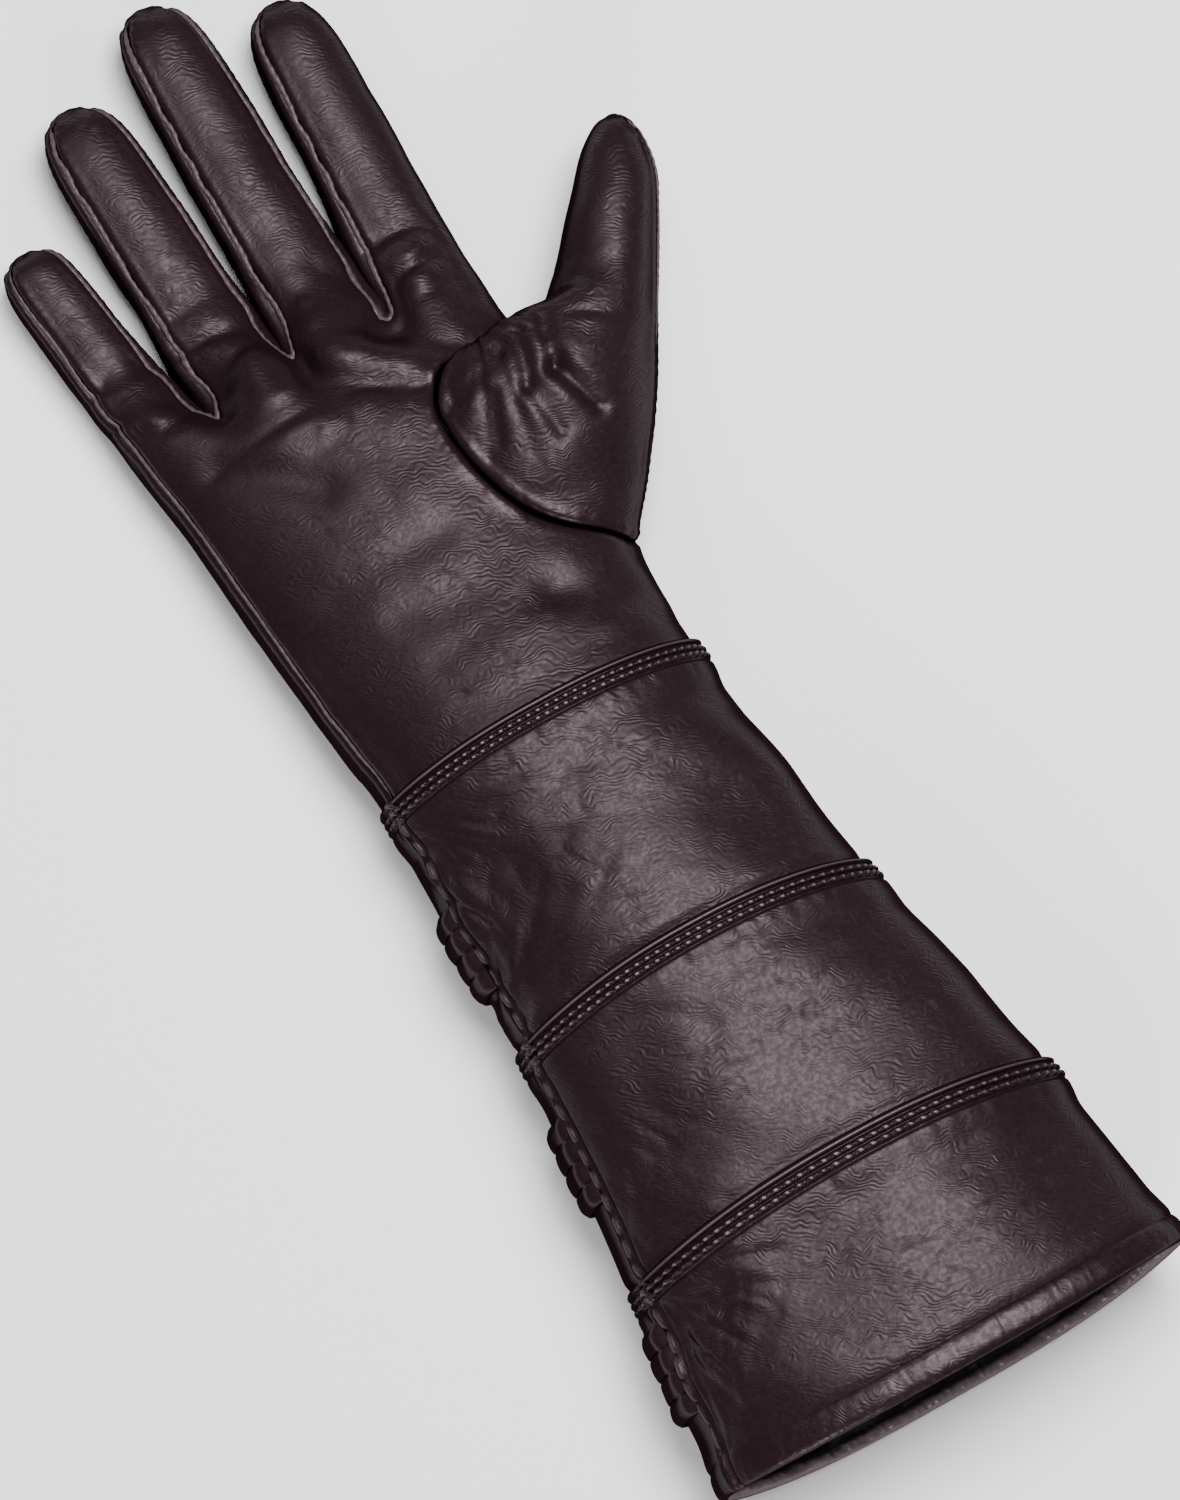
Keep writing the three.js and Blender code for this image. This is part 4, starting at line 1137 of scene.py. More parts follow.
    def leather(self, net: Net, part: Part, distance: Array) -> Mesh:
        """One piece of leather: its outer face, its inner face a wall's thickness inside, and the
        cut edges between them, drawn back by half a seam gap.

        Args:
            net: the smooth net.
            part: the piece to cut from it.
            distance: each point's distance from the nearest seam.

        Returns:
            The piece's closed mesh.
        """
        outward = net.normals()
        faces = net.faces[net.part == part]
        ahead = np.roll(faces, -1, axis=1)
        size = len(net.points)
        there = (faces * size + ahead).ravel()
        back = (ahead * size + faces).ravel()
        open_edge = ~np.isin(there, back)
        a, b = faces.ravel()[open_edge], ahead.ravel()[open_edge]
        along = unit(net.points[b] - net.points[a])
        inwards = unit(np.cross(outward[a] + outward[b], along))
        drawn = np.zeros_like(net.points)
        np.add.at(drawn, a, inwards)
        np.add.at(drawn, b, inwards)
        used = np.unique(faces)
        slot = np.zeros(size, int)
        slot[used] = np.arange(len(used))
        outer = (net.points + unit(drawn) * self.seam_gap / 2)[used]
        inner = outer - outward[used] * self.form.leather
        n = len(used)
        wall = np.stack([slot[b], slot[a], n + slot[a], n + slot[b]], axis=-1)
        mesh = Mesh()
        all_faces = np.concatenate([slot[faces], n + slot[faces][:, ::-1], wall])
        # Seam distances: within 1.3 mm of a seam the leather's shader paints shade in the groove.
        near = np.tile(distance[used], 2)
        mesh.add(np.concatenate([outer, inner]), all_faces, seam=near)
        return mesh

    def ridges(self, lines: list[tuple[Array, Array]], width: float, seed: int) -> Mesh:
        """The rolled edges that stand up along seams.

        Each is a tube of eight sides whose size and middle waver along its seam: its width and
        height swell with noise of 6 mm and pucker at every stitch, and both ends run out.

        Args:
            lines: each seam's points and the outward directions there.
            width: the tube's width in mm.
            seed: the pattern.

        Returns:
            One mesh with all of them.
        """
        mesh = Mesh()
        turn = turns(8)
        for line in lines:
            run = run_length(line[0])
            even = np.linspace(0, run[-1], round(run[-1] / self.ridge_step))
            path, facing = (
                np.stack([np.interp(even, run, rows[:, k]) for k in range(3)], axis=-1)
                for rows in line
            )
            place = np.stack([even, 0 * even, 0 * even], axis=-1)
            taper = np.minimum(ease(0, 4, even), ease(0, 4, even[-1] - even))
            size = 1 + 0.14 * np.cos(2 * math.pi * even / self.stitch_pitch)
            size = size + 0.3 * soft_noise(place, 6, seed)
            size = (size * (0.12 + 0.88 * taper))[:, None] * width / 2
            sway = 0.3 * width * soft_noise(place, 5, seed + 1)[:, None]
            across = size * np.cos(turn) + sway
            up = size * 0.8 * np.sin(turn) + 0.3 * width
            points = swept(path, facing, np.stack([across, up], axis=-1))
            # A faint painted highlight along each ridge.
            mesh.add(points, tube_faces(len(path)), seam=3.0, crest=0.35)
        return mesh

    def bulged(self, net: Net, distance: Array) -> None:
        """Swells the fourchettes beside the crotches, where two fingers press together.

        Args:
            net: the smooth net, which is changed.
            distance: each point's distance from the nearest seam.
        """
        puffed = np.unique(net.faces[(net.part > Part.BACK) & (net.part < Part.THUMB)])
        points = net.points[puffed]
        outward = net.normals()[puffed]
        swell = between(points[:, 1], self.crotch_span)
        swell = swell * ease(0.3, 2.6, distance[puffed]) * np.abs(outward[:, 0]) ** 2
        net.points[puffed] = points + self.crotch_swell * swell[:, None] * outward


class Crest(NamedTuple):
    """A line of a lapped seam: distance from the panel's edge, height and width in mm."""

    place: float
    height: float
    width: float


class StitchRow(NamedTuple):
    """Where a row of stitches runs on a panel: distance from its edge and the stitches' phase."""

    place: float
    phase: float


@dataclass
class Cuff:
    """The gauntlet: three lapped panels, a rolled hem, a lining and three padded bands."""

    form: GloveForm
    fine: float = 0.42  # spacing of the columns on the palm's side
    coarse: float = 1.3  # and on the back
    lap_step: float = 0.85  # how far a pressed lap stands off the piece below it
    stitch_pitch: float = 2.7
    stitch_rows: tuple[StitchRow, ...] = (StitchRow(2.85, 0.0), StitchRow(4.7, 0.4))
    # The lip of a lapped seam, its cut edge, and the grooves above, between and below the rows.
    lap_lines: tuple[Crest, ...] = rows_of(
        Crest,
        (0.8, 0.7, 0.5),
        (0.0, -0.35, 0.3),
        (1.8, -0.7, 0.42),
        (3.775, -0.7, 0.33),
        (5.9, -0.7, 0.5),
    )
    seam_slope: float = 0.62  # mm round the cuff per degree, beside the side seam
    nick_pitch: float = 6.0  # distance between the side seam's nicks
    relief_floor: float = -0.9  # the deepest that a panel's relief may press in
    fold_height: float = 1.25  # of the panels' slanting folds
    fold_spacing: float = 15.0
    crease_heights: tuple[float, float] = (1.9, 1.1)  # of the wide and the fine fanned creases
    wall_rows: int = 24  # rows of a panel's inner face
    turn_in: float = 3.8  # painted light on the turned-in leather at the mouth's rim, which lies in the palm side's shadow, and how much glossier it is there
    turned_in_light_and_gloss: float = 0.6  # how far the turned-in leather is polished
    band_places: tuple[float, ...] = (0.54, 0.43, 0.46)  # shares of each panel's length
    band_length: float = 23.0
    band_ribs: int = 4
    rib_depth: float = 0.6
    band_start: float = -30.0
    band_end: float = -200.0
    ulnar_seam: float = 160.0
    # Turns a place so that soft folds run slantwise, three times as long as they are wide.
    drape: tuple[tuple[float, ...], ...] = ((0.25, 0.6, 0), (-0.25, 0.7, 0), (0, 0, 0.4))

    @cached_property
    def angles(self) -> Array:
        """Directions round the cuff: close together on the palm's side, wider on the back."""
        middle = self.form.upper_seam
        palm = self.form.round_angles(middle, 178, 2, self.fine)
        back = self.form.round_angles(middle, 2, -182, self.coarse)
        return np.concatenate([palm, back[1:-1]])

    @cached_property
    def around(self) -> Array:
        """The distance run round the cuff at each of its columns."""
        line = self.form.body(np.full_like(self.angles, self.form.upper_seam), self.angles)
        return run_length(line)

    def palm_share(self, degrees: Array) -> Array:
        """1 on the palm's side of the cuff, where the seams stand out, and 0.3 at its two sides."""
        return 0.3 + 0.7 * ease(-0.1, 0.5, np.sin(np.radians(degrees)))

    def lap_relief(self, below: Array, around: Array, degrees: Array) -> Array:
        """The relief of a lapped seam: a rolled lip, then two rows of puckers between grooves.

        Args:
            below: distance from the panel's edge towards the mouth.
            around: distance run round the cuff.
            degrees: direction round the cuff.

        Returns:
            How far the surface stands proud, in mm.
        """
        lines = [line.height * bell(below - line.place, line.width) for line in self.lap_lines]
        relief = sum(lines)
        for row in self.stitch_rows:
            phase = 2 * math.pi * (around / self.stitch_pitch + row.phase)
            relief = relief + (0.6 + 0.35 * np.cos(phase)) * bell(below - row.place, 0.6)
        place = np.stack(np.broadcast_arrays(around, below / 4, 0 * around), axis=-1)
        gather = soft_noise(place, 2.4, 21) * bell(below - 7.5, 2.5)
        return (relief + 0.2 * gather) * self.palm_share(degrees)

    def side_distance(self, degrees: Array) -> Array:
        """The distance round the cuff from the side seam."""
        return (degrees % 360 - self.ulnar_seam) * self.seam_slope

    def side_seam(self, degrees: Array, along: Array) -> Array:
        """The side seam's relief: a thin nicked ridge between two grooves, along the little
        finger's side.

        Args:
            degrees: direction round the cuff.
            along: y in mm.

        Returns:
            How far the surface stands proud, in mm.
        """
        away = self.side_distance(degrees)
        pitch = self.nick_pitch
        nick = 1 - 0.9 * bell((along + pitch / 4) % pitch - pitch / 2, 0.8)
        groove = -0.6 * bell(away + 1.4, 0.6) - 0.55 * bell(away - 1.3, 0.6)
        return 1.05 * nick * bell(away, 0.7) + groove

    def lap_base(self, below: Array) -> Array:
        """How far a panel rises over the piece above it, at a distance below its own edge."""
        return self.lap_step * ease(self.form.lap + 7, self.form.lap - 1, below)

    def panel(self, top: float, bottom: float, capped: bool, seed: int) -> Mesh:
        """A panel's closed wall: rows up the outer face, over the lip and down the inner face.

        The outer face lies on the body, rises by the lap over the piece above it within its last
        rows, and carries the seams' relief, slanting folds of 15 mm and fanned creases.

        Args:
            top: y of the edge nearer the fingers.
            bottom: y of the edge nearer the mouth.
            capped: whether the next panel lies over the bottom edge.
            seed: the wrinkles' pattern.

        Returns:
            The panel's closed mesh.
        """
        form = self.form
        near = top - np.concatenate([np.arange(0, 7, 0.2), np.arange(7, top - bottom, 1.0)])
        outer = np.append(near, bottom)[::-1][:, None]
        degrees = self.angles[None]
        below = top - outer
        plain = form.body(outer, degrees)
        lap = self.lap_relief(below, self.around[None], degrees)
        side = self.side_seam(degrees, outer)
        # Painted highlight on the crests of the lap's rows and the side seam, strongest round the
        # palm's middle, which faces the key light.
        middle = 0.3 + 0.8 * bell(degrees - 95, 45)
        crest = middle * ease(0.4, 0.95, lap) + 0.4 * ease(0.4, 0.95, side)
        relief = lap + side
        away = ease(2, 16, below) * ease(0, 10, outer - bottom)
        folds = soft_noise(plain @ self.drape, self.fold_spacing, seed)
        relief = relief + away * self.fold_height * folds
        corners = (top + 4, bottom + form.lap * capped - 4)
        relief = relief + away * self.creases(plain, corners, seed)
        if capped:
            edge = bottom + form.lap
            relief = relief * ease(edge - 1, edge + 1.5, outer)
            relief = relief - 0.55 * bell(outer - edge - 0.6, 1.3)
            relief = relief - 0.25 * ease(edge, edge - 2, outer)
        else:
            relief = relief - 0.7 * bell(outer - bottom, 1.4)
        lift = self.lap_base(below) + np.maximum(relief, self.relief_floor)
        face = form.body(outer, degrees, lift)
        inner = np.linspace(top, bottom, self.wall_rows)[:, None]
        inside = form.body(inner, degrees, self.lap_base(top - inner) - form.leather)
        lip = face[-1] * 0.45 + inside[0] * 0.55 + [0, 0.35, 0]
        points = np.concatenate([face, lip[None], inside])
        # Seam values: below 1.3 the leather's shader paints shade, here beside the side seam; the
        # cut lip and the inner face take 0, so they get the painted shade and no painted highlight.
        seam = np.minimum(np.maximum(below, 1.4), outer - bottom + 2)
        seam = np.minimum(seam, np.abs(self.side_distance(degrees)))
        shaded_edge_and_inside = np.zeros((1 + len(inner), len(self.angles)))
        seam, crest = (np.concatenate([rows, shaded_edge_and_inside])[:, ::-1] for rows in (seam, crest))
        return Mesh().grid(points[:, ::-1], (True, True), seam=seam, crest=crest)

    def creases(self, place: Array, ends: tuple[float, float], seed: int) -> Array:
        """Creases that fan out from the corners where a panel's edges meet the side seam, deepest
        near them, over a little even noise.

        Args:
            place: the panel's points.
            ends: y of the two corners.
            seed: the pattern.

        Returns:
            Heights in mm.
        """
        patch = ease(-0.35, 0.4, soft_noise(place, 28, seed + 3))
        palm = ease(-58, -50, place[..., 0])
        total = 0.1 * soft_noise(place, 6, seed + 4)
        high, low = self.crease_heights
        for k, (end, weight) in enumerate(zip(ends, (1, 0.4))):
            corner = np.array([-self.form.wrist_width / 2 - 8, end])
            near = ease(85, 15, np.linalg.norm(place[..., :2] - corner, axis=-1))
            wide = fanned(place, corner, 34, 8.5, seed + 5 * k + 1)
            fine = fanned(place, corner, 34, 3.6, seed + 5 * k + 2)
            both = high * wide + low * fine
            total = total + weight * both * patch * palm * (0.1 + 0.9 * near)
        return total

    def stitches(self, top: float) -> Mesh:
        """The two rows of stitches below a panel's edge, as short rounded threads.

        A thread is a rod of eight sides in five rings, bowed over its middle, turned a little
        across the row and sunk into the leather between two puckers.

        Args:
            top: y of the panel's edge.

        Returns:
            One mesh with both rows.
        """
        form = self.form
        mesh = Mesh()
        thread = rod(length=1.9, thickness=0.9, bow=0.12)
        turn = math.radians(11)
        total = self.around[-1]
        for row in self.stitch_rows:
            run = (np.arange(total // self.stitch_pitch) - row.phase) * self.stitch_pitch
            run = run[(run > 0) & (run < total)]
            degrees = np.interp(run, self.around, self.angles)
            along = np.full_like(degrees, top - row.place)
            lift = self.lap_step - 0.8 + 1.15 * self.palm_share(degrees)
            place = form.body(along, degrees, lift)
            ahead = form.body(along, degrees - 0.5, lift) - form.body(along, degrees + 0.5, lift)
            ahead = unit(ahead)
            side = unit(form.body(along + 0.5, degrees, lift) - place)
            facing = unit(np.cross(side, ahead))
            ahead, side = (
                ahead * math.cos(turn) + side * math.sin(turn),
                side * math.cos(turn) - ahead * math.sin(turn),
            )
            scatter(mesh, thread, place - 0.12 * facing, ahead, side, facing)
        return mesh

    def hem(self) -> Mesh:
        """The rolled hem at the mouth: an ellipse carried round, wrinkled across its run.

        Returns:
            Its closed mesh.
        """
        form = self.form
        outer = 0.15
        inner = -form.leather - form.lining_gap - form.lining - 1.3
        turn = turns(32)
        start = form.mouth_end
        power = np.where(np.sin(turn) > 0, 0.75, 1.0)
        up = powered(np.cos(turn), power)
        out = powered(np.sin(turn), power)
        degrees = form.round_angles(start, 180, -180, 0.45)[None, :-1]
        length = form.hem_length + 1.2 + 3 * bell(degrees - 156, 22)
        length = length + (self.turn_in - length) * ease(0.2, -0.6, out)[:, None]
        along = start + length * (0.5 + 0.5 * up)[:, None]
        offset = ((outer + inner) / 2 + (outer - inner) / 2 * out)[:, None]
        plain = form.body(along, degrees, offset)
        wrinkle = 0.3 * (0.4 - np.abs(soft_noise(plain * [1, 0.6, 1], 1.8, 31)))
        wrinkle += 0.3 * soft_noise(plain * [1, 0.6, 1], 7, 32)
        nick = self.side_seam(degrees, along)
        deep = np.where(out > 0, 0.55 * out, 2.2 * out)[:, None]
        points = form.body(along, degrees, offset + wrinkle * deep + nick)
        # Painted light on the turned-in face, which lifts the far rim out of its shade; the outer
        # face gets none.
        wear_and_painted_light = np.where(out > 0, 0.0, self.turned_in_light_and_gloss)[:, None]
        return Mesh().grid(points[:, ::-1], (True, True), seam=3.0, crest=wear_and_painted_light)

    def lining(self) -> Mesh:
        """The lining sleeve: the body's form inside the leather, with soft folds of 16 and 6 mm.

        Returns:
            Its closed mesh.
        """
        form = self.form
        degrees = form.round_angles(form.upper_seam, 180, -180, 2.0)[None, :-1]
        along = np.linspace(form.mouth_end + 3.2, -form.lap - 0.5, 90)[:, None]
        outside = -form.leather - form.lining_gap
        plain = form.body(along, degrees, outside)
        fold = 0.5 + 0.5 * soft_noise(plain * [1, 0.45, 1], 16, 51) + 0.2 * soft_noise(plain, 6, 52)
        fold = np.maximum(fold, 0) * ease(0, 7, along - along[0])
        inner = form.body(along, degrees, outside - form.lining - fold)
        outer = form.body(along[::-1], degrees, outside)
        return Mesh().grid(np.concatenate([inner, outer]), (True, True))

    def band(self, top: float, bottom: float, share: float, seed: int) -> Mesh:
        """A padded band across the cuff's back, sewn through into ribs.

        Its rows cross the band: the outer face is a row of rounded ribs between narrow grooves,
        with rounded long edges, and both ends taper to a rounded edge.

        Args:
            top: y of its panel's edge nearer the fingers.
            bottom: y of the other edge.
            share: where the band's middle lies between them.
            seed: the pattern of its creases.

        Returns:
            The band's closed mesh.
        """
        form = self.form
        middle = top + (bottom - top) * share
        v = np.linspace(-1, 1, 61)
        rows = middle + self.band_length / 2 * v
        degrees = form.round_angles(middle, self.band_start, self.band_end, 0.9)
        line = form.body(np.full_like(degrees, middle), degrees)
        run = run_length(line)
        end = np.minimum(ease(-0.4, 2.6, run), ease(-0.4, 2.6, run[-1] - run)) ** 0.6
        rib = np.abs(np.sin(math.pi * self.band_ribs * (v + 1) / 2)) ** 0.35
        edge = (1 - np.abs(v) ** 10) ** 0.5
        thick = form.band_thickness * edge - self.rib_depth * 1.3 * (1 - rib) * (np.abs(v) < 0.95)
        grid = form.body(rows[:, None], degrees[None])
        crease = 0.14 * soft_noise(grid * [1, 0.6, 1], 4, seed)
        crease = crease + 0.1 * soft_noise(grid, 9, seed + 1)
        lift = (self.lap_base(top - rows) + 0.1)[:, None]
        crown = thick[:, None] * end[None] * (1 + crease)
        outer = form.body(rows[:, None], degrees[None], lift + np.maximum(crown, 0.05))
        inner = form.body(rows[::-1, None], degrees[None], lift[::-1])
        points = np.concatenate([outer, inner])[:, ::-1]
        # Seam values from the ribs: in the grooves between them they fall below 1.3, where the
        # leather's shader paints shade.
        near = np.tile(3 * rib[:, None], (2, 1))
        return Mesh().grid(points, (True, False), seam=near)


def tube_faces(rings: int) -> Array:
    """The faces of a tube with eight sides and closed ends, its points given ring by ring.

    Args:
        rings: how many rings it has.

    Returns:
        Four-sided faces, with three over each end.
    """
    at = np.arange(8 * rings).reshape(rings, 8)
    ahead = np.roll(at, -1, axis=1)
    sides = np.stack([at[:-1], at[1:], ahead[1:], ahead[:-1]], axis=-1).reshape(-1, 4)
    cap = np.array([[0, 1, 2, 3], [0, 3, 4, 7], [4, 5, 6, 7]])
    return np.concatenate([sides, cap, cap[:, ::-1] + at[-1, 0]])


def rod(length: float, thickness: float, bow: float) -> tuple[Array, Array]:
    """A short thread: eight sides in five rings, bowed upwards.

    Args:
        length: along x in mm.
        thickness: at its middle.
        bow: how far its middle rises.

    Returns:
        Its points, with x along it and z up, and its four-sided faces.
    """
    along = np.array([-1, -0.82, 0, 0.82, 1])
    size = np.array([0.35, 0.85, 1, 0.85, 0.35]) * thickness / 2
    turn = turns(8)
    x = np.repeat((along * length / 2)[:, None], 8, axis=1)
    y = size[:, None] * np.cos(turn)
    z = size[:, None] * np.sin(turn) + (bow * (1 - along**2))[:, None]
    return np.stack([x, y, z], axis=-1).reshape(-1, 3), tube_faces(len(along))


def scatter(
    mesh: Mesh, shape: tuple[Array, Array], place: Array, ahead: Array, side: Array, up: Array
) -> None:
    """Adds a copy of a small shape at each place, turned to its three directions.

    Args:
        mesh: what the copies are added to.
        shape: the shape's points and its four-sided faces.
        place: n places.
        ahead: n directions of the shape's x.
        side: and of its y.
        up: and of its z.
    """
    points, faces = shape
    turned = sum(points[:, k, None] * axis[:, None] for k, axis in enumerate((ahead, side, up)))
    count = np.arange(len(place))[:, None, None] * len(points)
    mesh.add(turned + place[:, None], faces[None] + count)


def srgb(text: str) -> tuple[float, float, float, float]:
    """The linear colour of an sRGB hex value.

    Args:
        text: the value, such as 2b1f22.

    Returns:
        Red, green, blue and an alpha of one.
    """
    part = np.array([int(text[k : k + 2], 16) / 255 for k in (0, 2, 4)])
    linear = np.where(part <= 0.04045, part / 12.92, ((part + 0.055) / 1.055) ** 2.4)
    return (*map(float, linear), 1.0)


def add(
    tree: bpy.types.NodeTree, kind: str, links: dict | None = None, **settings
) -> bpy.types.Node:
    """Adds a node to a tree.

    Args:
        tree: the material's node tree.
        kind: the node's type name, without ShaderNode.
        links: input name or number to what feeds it: a socket, a node, whose first output is
            taken, or a plain value.
        settings: the node's own properties.

    Returns:
        The new node.
    """
    node = tree.nodes.new(f"ShaderNode{kind}")
    for key, value in settings.items():
        setattr(node, key, value)
    for key, value in (links or {}).items():
        if isinstance(value, bpy.types.Node):
            value = value.outputs[0]
        if isinstance(value, bpy.types.NodeSocket):
            tree.links.new(value, node.inputs[key])
        else:
            node.inputs[key].default_value = value
    return node


def new_material(name: str) -> tuple[AddNode, bpy.types.Node]:
    """Makes an empty material.

    Args:
        name: the material's name.

    Returns:
        What adds a node to its tree, and the node with its Object coordinates in mm.
    """
    material = bpy.data.materials.new(name)
    material.use_nodes = True
    material.node_tree.nodes.clear()
    node = partial(add, material.node_tree)
    place = node("TexCoord").outputs["Object"]
    return node, node("VectorMath", {0: place, "Scale": 1 / METRES}, operation="SCALE")


@dataclass(frozen=True)
class Leather:
    """Aniline-finished lambskin, plum brown: a soft gloss broken by fine grain lines about a
    millimetre apart that swirl with the hide, strong where it is open and faint beside seams.
    Its pores shade one another at a glancing view, where the gloss fades."""

    name: str = "aniline_lambskin"
    shade: str = "160c10"
    wear_and_painted_light: str = "1e1216"
    gleam: str = "ffebf1"
    deep: str = "0b0608"  # painted shade in the seams' grooves, on the panels' cut edges and in the bands' rib grooves
    painted_highlight: str = "6f6168"  # painted highlight on the crests of sewn rows, seam ridges and rolled edges, and painted light on the hem's turned-in rim
    roughness: float = 0.4
    pressed_gloss: float = 0.08  # how much smoother the hide is beside seams
    crest_gloss: float = 0.12  # and on the crests of sewn rows
    ior: float = 1.28
    seam_reach: float = 7.0  # mm from a seam to open hide
    line_spacing: float = 1.0  # mm between two grain lines
    line_height: float = 0.036  # mm
    line_slant: tuple[float, float, float] = (0.3, 0.75, 0.35)
    line_sway: float = 7.0  # spacings
    line_breaks: float = 0.45  # of the noise that breaks the lines, per mm
    swirl: float = 5.5  # mm over which the grain turns
    pore: float = 0.55  # mm
    pore_height: float = 0.025
    crease_spacing: float = 5.5
    crease_height: float = 0.1
    wear_size: float = 22.0

    def grain(self, node: AddNode, place: bpy.types.Node) -> bpy.types.Node:
        """The grain: lines round the glove that a soft noise sways by a few spacings, and which a
        second noise breaks into pieces a few millimetres long.

        Args:
            node: adds a node.
            place: the node with the coordinates in mm.

        Returns:
            The node with its height from 0 to 1.
        """
        hills = node("TexNoise", {"Vector": place, "Scale": 1 / self.swirl, "Detail": 1.0})
        run = tuple(2 * math.pi / self.line_spacing * k for k in self.line_slant)
        along = node("VectorMath", {0: place, 1: run}, operation="DOT_PRODUCT").outputs[1]
        sway = {0: hills, 1: self.line_sway * 2 * math.pi, 2: along}
        wave = node("Math", {0: node("Math", sway, operation="MULTIPLY_ADD")}, operation="SINE")
        breaks = node("TexNoise", {"Vector": place, "Scale": self.line_breaks, "Detail": 1.0})
        share = node("MapRange", {0: breaks, 1: 0.38, 2: 0.62, 3: 0.15, 4: 0.5})
        return node("Math", {0: wave, 1: share, 2: 0.5}, operation="MULTIPLY_ADD")

    def build(self) -> bpy.types.Material:
        """Makes the material."""
        node, place = new_material(self.name)
        lines = self.grain(node, place)
        pebble = node("TexNoise", {"Vector": place, "Scale": 0.5 / self.pore})
        folds = {"Vector": place, "Scale": 1 / self.crease_spacing}
        crease = node("TexNoise", {**folds, "Detail": 2.0, "Distortion": 1.0})
        wear = node("TexNoise", {"Vector": place, "Scale": 1 / self.wear_size, "Detail": 1.0})
        seam = node("Attribute", attribute_name="seam").outputs["Fac"]
        crest = node("Attribute", attribute_name="crest").outputs["Fac"]
        reach = self.seam_reach
        rough = self.roughness
        # Smooth steps: what feeds each, from where to where, and the values at the two ends.
        steps = {
            "open_hide": (seam, 0.8, reach, 0.2, 1.0),
            "marked": (wear, 0.35, 0.58, 0.4, 1.0),
            "out_of_painted_seam_shade": (seam, 0.0, 1.3, 0.0, 1.0),
            "rough": (pebble, 0.3, 0.7, rough - 0.04, rough + 0.07),
            "pressed": (seam, 1.0, reach, -self.pressed_gloss, 0.0),
            "sleek": (crest, 0.0, 1.0, 0.0, -self.crest_gloss),
            "glance": (node("LayerWeight", {"Blend": 0.5}).outputs["Facing"], 0.25, 0.65, 0.0, 1.0),
        }
        step = {
            name: node("MapRange", dict(enumerate(ends)), interpolation_type="SMOOTHSTEP")
            for name, ends in steps.items()
        }
        strength = {0: step["marked"], 1: step["open_hide"]}
        shaped = {0: lines, 1: node("Math", strength, operation="MULTIPLY")}
        relief = {
            0: pebble,
            1: self.pore_height / self.line_height,
            2: node("Math", shaped, operation="MULTIPLY"),
        }
        soft = node("Bump", {"Distance": self.crease_height * METRES, "Height": crease})
        ridged = {
            "Distance": self.line_height * METRES * 2,
            "Height": node("Math", relief, operation="MULTIPLY_ADD"),
            "Normal": soft,
        }
        grain = node("Bump", ridged)
        tone = node("Mix", {0: wear, 6: srgb(self.shade), 7: srgb(self.wear_and_painted_light)}, data_type="RGBA")
        # Painted shade: the deep colour where a point lies within 1.3 mm of a seam.
        painted_seam_shade = {0: step["out_of_painted_seam_shade"], 6: srgb(self.deep), 7: tone.outputs[2]}
        tone = node("Mix", painted_seam_shade, data_type="RGBA")
        # Painted highlight: the crest attribute mixes in a light colour; it also makes the leather
        # glossier there.
        light = {0: crest, 6: tone.outputs[2], 7: srgb(self.painted_highlight)}
        colour = node("Mix", light, data_type="RGBA").outputs[2]
        gloss = node("Math", {0: step["rough"], 1: step["pressed"]}, operation="ADD")
        shine = node(
            "BsdfPrincipled",
            {
                "Base Color": colour,
                "Roughness": node("Math", {0: gloss, 1: step["sleek"]}, operation="ADD"),
                "IOR": self.ior,
                "Specular Tint": srgb(self.gleam),
                "Normal": grain,
            },
        )
        matt = node("BsdfDiffuse", {"Color": colour, "Normal": grain})
        skin = node("MixShader", {0: step["glance"], 1: shine, 2: matt})
        node("OutputMaterial", {"Surface": skin})
        return bpy.data.materials[self.name]


@dataclass(frozen=True)
class Thread:
    """Bonded polyester sewing thread, dyed to the leather, with the twist of its plies."""

    name: str = "bonded_thread"
    shade: str = "1d1316"
    gleam: str = "ffebf1"
    roughness: float = 0.36
    ior: float = 1.3
    twist: float = 2.2  # twists per mm
    twist_height: float = 0.1

    def build(self) -> bpy.types.Material:
        """Makes the material."""
        node, place = new_material(self.name)
        twist = node("TexNoise", {"Vector": place, "Scale": self.twist, "Detail": 1.0})
        settings = {
            "Base Color": srgb(self.shade),
            "Roughness": self.roughness,
            "IOR": self.ior,
            "Specular Tint": srgb(self.gleam),
            "Normal": node("Bump", {"Distance": self.twist_height * METRES, "Height": twist}),
        }
        node("OutputMaterial", {"Surface": node("BsdfPrincipled", settings)})
        return bpy.data.materials[self.name]


@dataclass(frozen=True)
class LiningCloth:
    """Plain-woven acetate lining, near black: threads 0.5 mm apart and a faint sheen."""

    name: str = "woven_acetate_lining"
    shade: str = "0b0e10"
    roughness: float = 0.75
    ior: float = 1.35
    sheen: float = 0.1
    pitch: float = 0.5
    thread_height: float = 0.1

    def build(self) -> bpy.types.Material:
        """Makes the material."""
        node, place = new_material(self.name)
        rows = {"Vector": place, "Scale": 0.32 / self.pitch}
        warp, weft = (node("TexWave", rows, bands_direction=k).outputs[1] for k in "XY")
        cloth = node("Math", {0: warp, 1: weft}, operation="MULTIPLY")
        settings = {
            "Base Color": srgb(self.shade),
            "Roughness": self.roughness,
            "IOR": self.ior,
            "Sheen Weight": self.sheen,
            "Normal": node("Bump", {"Distance": self.thread_height * METRES, "Height": cloth}),
        }
        node("OutputMaterial", {"Surface": node("BsdfPrincipled", settings)})
        return bpy.data.materials[self.name]


class Softbox(NamedTuple):
    """A square lamp: its place in metres towards the camera, up and right in the picture from the
    glove's middle, its size in metres and its power in watts."""

    name: str
    back: float
    up: float
    right: float
    size: float
    power: float


